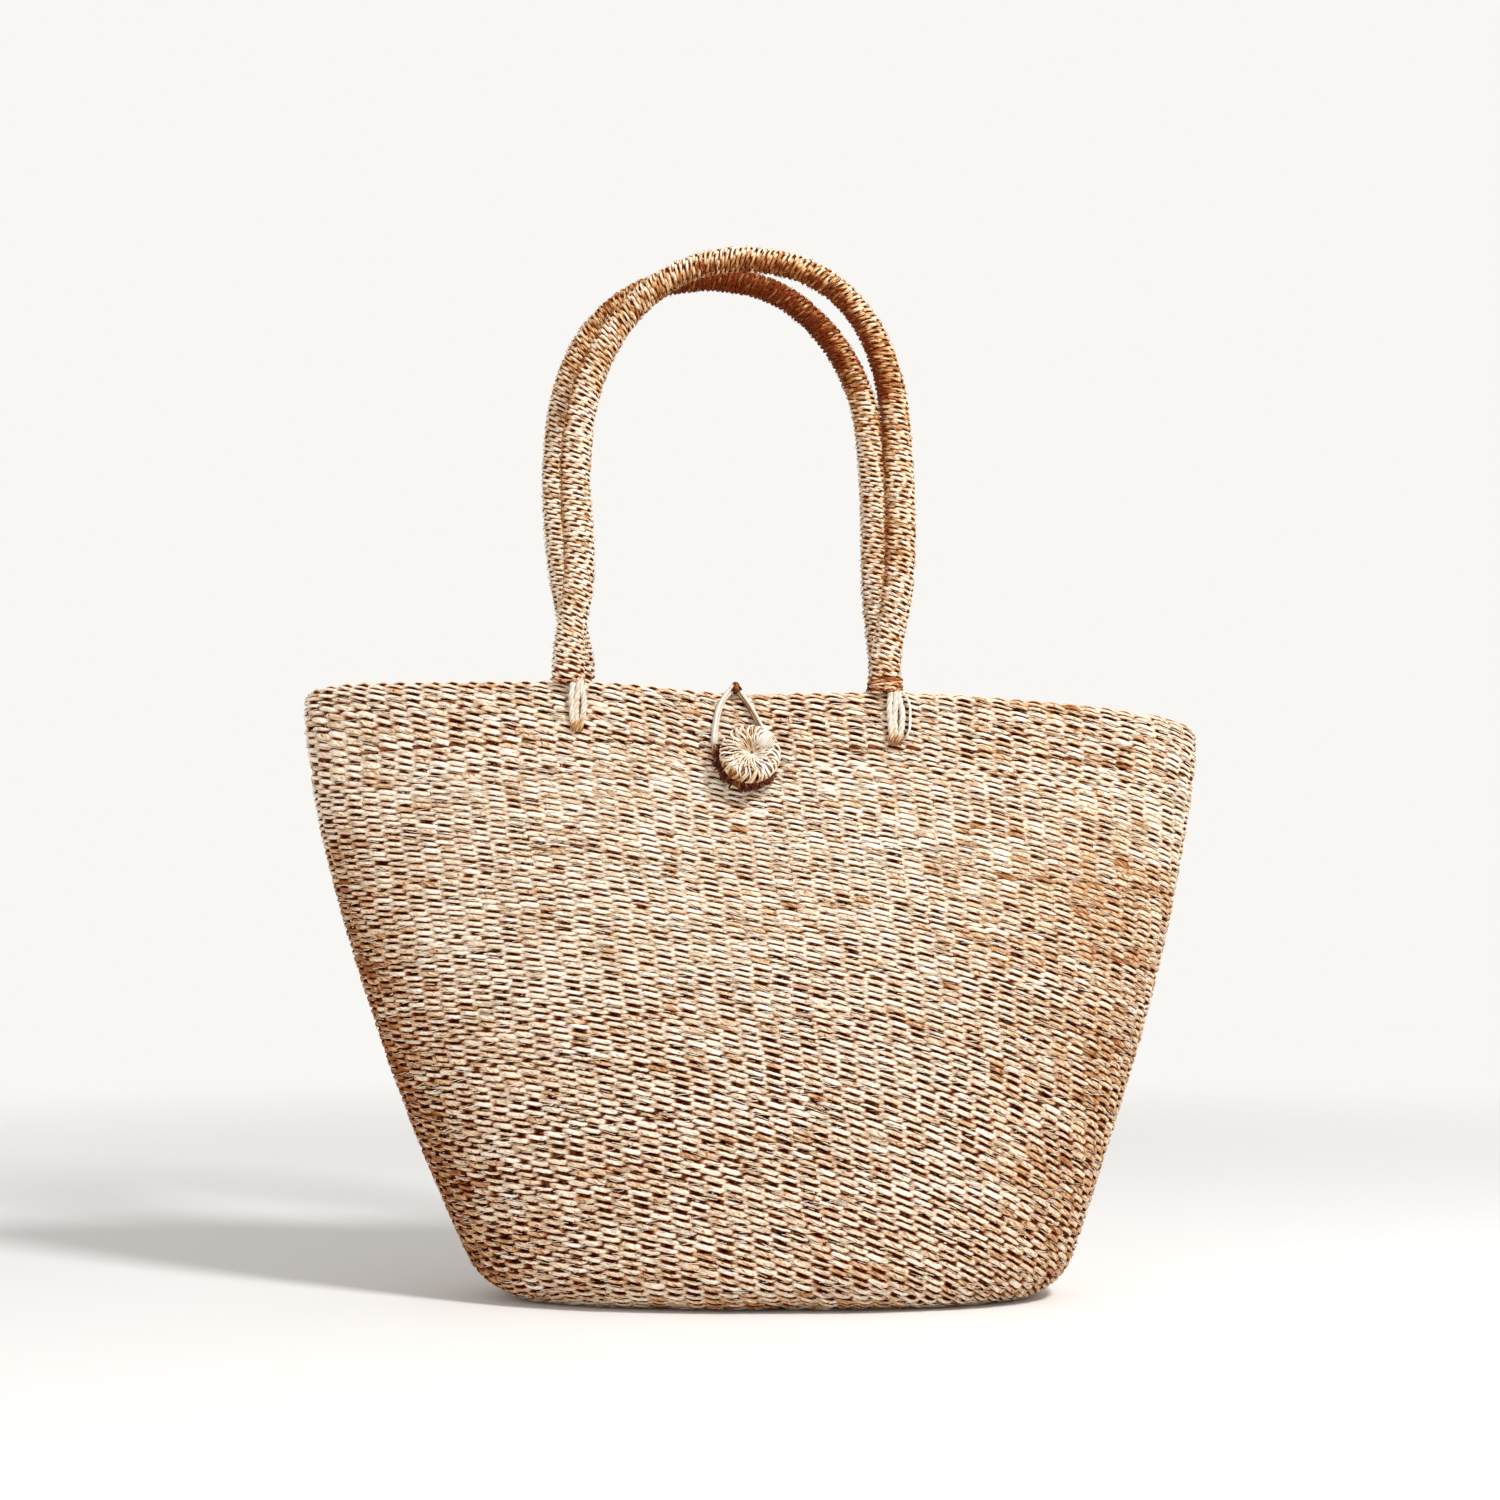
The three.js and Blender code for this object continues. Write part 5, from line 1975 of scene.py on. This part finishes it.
# The loop's route in millimetres, as its solid has it.
LOOP_ROUTE = (
    (-8.4, -24.5, 298.0), (-8.5, -26.6, 297.7), (-9.2, -28.4, 296.7), (-10.5, -29.6, 295.0),
    (-12.5, -30.3, 292.4), (-14.3, -31.3, 289.0), (-15.5, -32.6, 285.2), (-16.3, -34.1, 281.0),
    (-16.8, -35.6, 276.3), (-17.1, -37.1, 271.5), (-16.8, -38.6, 266.5), (-15.6, -40.1, 261.3),
    (-13.2, -41.4, 256.5), (-9.4, -42.4, 252.6), (-4.8, -43.2, 249.9), (0.2, -43.4, 249.0),
    (5.0, -43.0, 250.5), (8.8, -41.9, 254.2), (10.8, -40.6, 259.0), (11.3, -39.1, 264.0),
    (10.3, -37.6, 269.0), (8.2, -36.1, 273.6), (5.6, -34.7, 277.8), (3.4, -33.3, 282.0),
    (1.0, -31.8, 286.5), (-1.3, -30.6, 290.2), (-3.3, -29.8, 292.9), (-4.6, -29.3, 294.8),
    (-5.2, -28.2, 296.5), (-5.5, -26.6, 297.7), (-5.6, -24.5, 298.0),
)


@dataclass
class ClosingLoop:
    """Cord loop round the button, with its bound neck and the stitches that hold it to the rear rim."""

    shape: BagShape
    finishes: Finishes
    seed: int = 93
    x: float = -7.0
    cord_radius: float = 1.2
    ply_offset: float = 0.92
    ply_radius: float = 0.86
    cord_twist: float = 1300.0
    neck_radius: float = 2.4
    neck_turns: int = 34
    neck_thick: float = 0.7
    neck_rear: Spot = (-7.0, 22.72, 300.63)
    neck_front: Spot = (-7.0, -24.17, 298.03)
    tuft_fibres: int = 15
    tuft_bend: float = 2.5
    saddle_drop: float = 12.0
    saddle_strands: int = 5
    saddle_pitch: float = 1.35
    saddle_rise: float = 2.3
    stitch_tone: float = 0.85
    stitch_spread: float = 0.06

    def __post_init__(self) -> None:
        """Starts the source of the random draws."""
        self.rng = np.random.default_rng(SEED + self.seed)

    def build(self) -> None:
        """Builds and dresses the cord, the neck, its tuft and the saddle."""
        self._cord()
        self._neck()
        self._tuft()
        self._saddle()

    def _cord(self) -> None:
        """Lays the cord along its route."""
        line = Curve.through(np.array(LOOP_ROUTE), 40)
        path = line.at(np.linspace(0.0, line.length, 190))
        share = np.linspace(0.0, 1.0, len(path))
        bundle = Bundle(sides=6, folds=3)
        # Painted shadow: the cord darkens where it passes under the button. The third ply is dark along the
        # upper right leg, brown fibre and painted shade together.
        under_button_shadow = smoothstep(0.23, 0.31, share) * (1.0 - smoothstep(0.68, 0.76, share))
        light = 0.92 - 0.92 * under_button_shadow
        brown = 0.85 - 0.85 * under_button_shadow - 0.85 * smoothstep(0.72, 0.78, share)
        tones = tuple(clipped(tone) for tone in (light, light - 0.05, brown))
        outward = np.array([0.0, -1.0, 0.35])
        plied(bundle, path, outward, self.ply_offset, self.ply_radius, self.cord_twist, tones)
        piece = bundle.settle("button_loop_cord", self.finishes.pale, Body.LOOP, "button_loop")

    def _neck(self) -> None:
        """Binds the neck that crosses the mouth."""
        bundle = Bundle(sides=5, folds=4)
        rear, front = np.array(self.neck_rear), np.array(self.neck_front)
        right = np.array([1.0, 0.0, 0.0])
        upward = np.cross(unit(front - rear), right)
        turns = self.neck_turns
        count = np.linspace(0.0, 1.0, turns * 11)
        angle = TURN * turns * count
        out = np.cos(angle)[:, None] * right + np.sin(angle)[:, None] * upward
        path = rear + (front - rear) * count[:, None] + out * (self.neck_radius - self.neck_thick)
        turn = np.minimum((count * turns).astype(int), turns - 1)
        tone = clipped(self.rng.normal(0.42, 0.12, turns)[turn])
        bundle.strand(path, out, 0.76, self.neck_thick, tone, 0.85)
        core = rear + (front - rear) * np.linspace(0.0, 1.0, 12)[:, None]
        bundle.strand(core, upward, 1.6, 1.6, 0.3, 0.5)
        bundle.settle("loop_neck_binding", self.finishes.bound, Body.NECK, "loop_neck")

    def _tuft(self) -> None:
        """Lets the binding's ends fan out over the front rim, where the loop's legs part."""
        bundle = Bundle(sides=5, folds=4)
        tip = np.array(self.neck_front)
        for fibre in range(self.tuft_fibres):
            lane = 2.0 * fibre / (self.tuft_fibres - 1) - 1.0
            drop = 3.6 - 0.9 * abs(lane) + self.rng.normal(0.0, 0.3)
            spots = (
                (lane * 0.7, 3.0, 2.3),
                (lane * 0.9, 0.2, 2.5 - 0.3 * abs(lane)),
                (lane * 1.7, -3.0, 1.2 - 0.5 * abs(lane)),
                (lane * 2.5, -5.2, 1.4 - drop * 0.7),
                (lane * 3.0, -6.2, 1.2 - drop),
            )
            path = resample(tip + np.array(spots), 0.8)
            tone = clipped(self.rng.normal(0.4, 0.16) + np.linspace(0.1, -0.2, len(path)))
            bundle.strand(path, np.array([0.0, -0.6, 0.8]), 0.42, 0.36, tone, 0.95)
        piece = bundle.build("loop_neck_tuft", self.finishes.bound)
        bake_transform(piece)
        dress(piece, self.finishes.bound)

    def _stitch_tones(self, count: int) -> Array:
        """Tones along a pale stitch of that many points."""
        return clipped(self.stitch_tone + self.rng.normal(0.0, self.stitch_spread, count))

    def _leg(self, x: float, side: float, inset: float) -> list[list[float]]:
        """Half of a stitch of the saddle, from its lower end up to the crest.

        Args:
            x: its place along the rim.
            side: 1 on the wall's outer face, -1 on its inner one.
            inset: how far that face lies inside the outer one.

        Returns:
            Points in millimetres.
        """
        shape = self.shape
        share = shape.below_rim(self.saddle_drop)
        top, low = shape.height_at(x, 1.0), shape.height_at(x, share)
        upper, lower = shape.depth_at(x, 1.0, inset), shape.depth_at(x, share, inset)
        return [
            [x, lower - side, low - 0.4],
            [x, lower + side, low + 0.8],
            [x, (lower + upper) / 2.0 + 1.2 * side, (low + top) / 2.0],
            [x, upper + side, top - 1.2],
            [x, upper - 1.2 * side, top + self.saddle_rise],
        ]

    def _saddle(self) -> None:
        """Lays the stitches over the rear rim."""
        bundle = Bundle(sides=6)
        for strand in range(self.saddle_strands):
            x = self.x + (strand - (self.saddle_strands - 1) / 2.0) * self.saddle_pitch
            outer = self._leg(x, 1.0, 0.0)
            inner = self._leg(x, -1.0, self.shape.rim_thickness)
            path = resample(np.array(outer + inner[::-1]), 1.2)
            middle = np.array([x, Foot.on(self.shape, x, 1).depth, outer[2][2]])
            bundle.strand(path, path - middle, 0.72, 0.7, self._stitch_tones(len(path)), 0.95)
        self._ties(bundle)
        bundle.settle("loop_saddle_stitches", self.finishes.pale, Body.BASKET, "loop_saddle")

    def _ties(self, bundle: Bundle) -> None:
        """Sews the neck's rear end to the saddle, along the line that it turns on.

        Args:
            bundle: where the strands go.
        """
        half = ((3.4, 1.2, -1.6), (2.9, 1.5, -3.8))
        for lane in (-1.0, 0.0, 1.0):
            right = [(2.5, 0.7 * lane, 0.1)] + [(x, y * lane, z) for x, y, z in half]
            left = [(-x, y, z) for x, y, z in reversed(right)]
            path = resample(np.array(self.neck_rear) + np.array(left + right), 0.7)
            bundle.strand(path, np.array([0.0, 1.0, 0.0]), 0.6, 0.6, self._stitch_tones(len(path)), 0.95)


@dataclass(frozen=True)
class Studio:
    """Camera, soft lights, pale floor and background, in metres."""

    distance: float = 1.2
    eye_height: float = 0.2
    lens: float = 58.3
    sensor: float = 36.0
    shift: float = 0.0933
    view_end: float = 50.0
    floor_half: float = 6.0
    floor_near: float = 0.4
    floor_far: float = 1.5
    floor_colour: Row = (0.9, 0.895, 0.885, 1.0)
    room_colour: Row = (1.0, 0.978, 0.95, 1.0)

    def build(self) -> None:
        """Sets the camera, the floor and the lights."""
        self._camera()
        self._floor()
        self._lamp("key", (0.85, -0.95, 1.5), (0.0, 0.0, 0.22), 0.32, 29.2)
        self._lamp("fill", (-1.3, -1.2, 0.7), (0.0, 0.0, 0.2), 1.4, 4.0)
        self._room()
        bpy.context.scene.view_settings.view_transform = "Standard"

    def _room(self) -> None:
        """Lights the room: white behind the bag, softer in front of it and overhead."""
        world = bpy.data.worlds.new("studio")
        made = Finisher(world)
        way = made.node("ShaderNodeTexCoord").outputs["Generated"]
        parts = made.node("ShaderNodeSeparateXYZ", {}, {0: way}).outputs
        behind = Value(made, parts["Y"]).ease(-0.3, 0.6, 0.76, 0.95)
        overhead = Value(made, parts["Z"]).ease(0.35, 0.8, 1.0, 0.5)
        sockets = {"Color": self.room_colour, "Strength": behind * overhead}
        background = made.node("ShaderNodeBackground", {}, sockets)
        made.node("ShaderNodeOutputWorld", {}, {"Surface": background.outputs["Background"]})
        bpy.context.scene.world = world

    def _camera(self) -> None:
        """Stands the camera level in front of the bag."""
        data = bpy.data.cameras.new("camera")
        data.lens = self.lens
        data.sensor_width = self.sensor
        data.shift_y = self.shift
        data.clip_end = self.view_end
        camera = bpy.data.objects.new("camera", data)
        camera.location = (0.0, -self.distance, self.eye_height)
        camera.rotation_euler = (math.pi / 2.0, 0.0, 0.0)
        bpy.context.scene.collection.objects.link(camera)
        bpy.context.scene.camera = camera

    def _floor(self) -> None:
        """Lays the pale floor, which fades into the background away from the bag."""
        half = self.floor_half
        mesh = bpy.data.meshes.new("floor")
        corners = [(-half, -half, 0.0), (half, -half, 0.0), (half, half, 0.0), (-half, half, 0.0)]
        mesh.from_pydata(corners, [], [(0, 1, 2, 3)])
        material = bpy.data.materials.new("pale_floor")
        made = Finisher(material)
        place = made.node("ShaderNodeTexCoord").outputs["Object"]
        away = made.node("ShaderNodeVectorMath", {"operation": "LENGTH"}, {0: place})
        near = 1.0 - Value(made, away.outputs["Value"]).ease(self.floor_near, self.floor_far)
        made.surface(
            {"Base Color": self.floor_colour, "Roughness": 0.9, "Specular IOR Level": 0.1, "Alpha": near}
        )
        mesh.materials.append(material)
        floor = bpy.data.objects.new("floor", mesh)
        bpy.context.scene.collection.objects.link(floor)

    @staticmethod
    def _lamp(name: str, place: Spot, target: Spot, size: float, watts: float) -> None:
        """Hangs a soft round lamp.

        Args:
            name: the lamp's name.
            place: where it hangs.
            target: where it looks.
            size: its width.
            watts: its power.
        """
        data = bpy.data.lights.new(name, "AREA")
        data.shape = "DISK"
        data.size = size
        data.energy = watts
        lamp = bpy.data.objects.new(name, data)
        lamp.location = place
        lamp.rotation_euler = (Vector(target) - Vector(place)).to_track_quat("-Z", "Y").to_euler()
        bpy.context.scene.collection.objects.link(lamp)


def build_handles(shape: BagShape, finishes: Finishes) -> None:
    """Builds both handles and the lashings at their feet.

    Args:
        shape: the bag's outline.
        finishes: its finishes.
    """
    front = Handle(
        shape, finishes, "front_handle", Body.FRONT_HANDLE, side=-1, seed=11,
        feet_x=(-88.0, 65.0), centre=-6.0, half_span=79.0, fullness=(2.0, 2.35), bow=(2.7, 2.2),
        crown_shade=0.02, shoulder_shade=0.22, radius=7.9,
        nudge_left=(0.0, 0.4, 0.8, 1.0, 0.6, 0.2, 0.0, 0.0, 0.0),
        nudge_right=(0.3, 0.6, 0.6, 0.7, 0.0, -1.2, -1.9, -1.0, 0.0),
    )
    rear = Handle(
        shape, finishes, "rear_handle", Body.REAR_HANDLE, side=1, seed=12,
        feet_x=(-86.0, 64.5), centre=-19.5, half_span=79.5, fullness=(2.35, 2.15), bow=(-1.7, 0.0),
        # The rear crown is painted dark: it lies in the front handle's shadow.
        crown_shade=0.9, shoulder_shade=-0.4,
        nudge_left=(0.0, 0.0, 0.4, 0.8, 1.2, 1.5, 1.5, 1.0, 0.0),
        nudge_right=(2.4, 2.2, 1.6, 1.0, 1.1, 1.8, 2.0, 1.0, 0.0),
    )
    for handle, end in ((front, "front"), (rear, "rear")):
        handle.build()
        lashings = (("left", handle.left, 23.5, 5.2, 0.0), ("right", handle.right, 26.0, 4.8, 7.0))
        for number, (where, foot, drop, aside, stray) in enumerate(lashings):
            name = f"{end}_{where}_lashing"
            seed = handle.seed * 10 + number
            Lashing(shape, finishes, name, foot, handle.body, seed, drop, aside, stray).build()


def main() -> None:
    """Builds the bag and its studio."""
    logging.basicConfig(level=logging.INFO, format="%(name)s %(message)s")
    Studio().build()
    shape = BagShape()
    finishes = Finishes()
    ClosingLoop(shape, finishes).build()
    WovenBody(Cloth(shape), finishes).build()
    build_handles(shape, finishes)
    Button(shape, finishes).build()


if __name__ == "__main__":
    main()
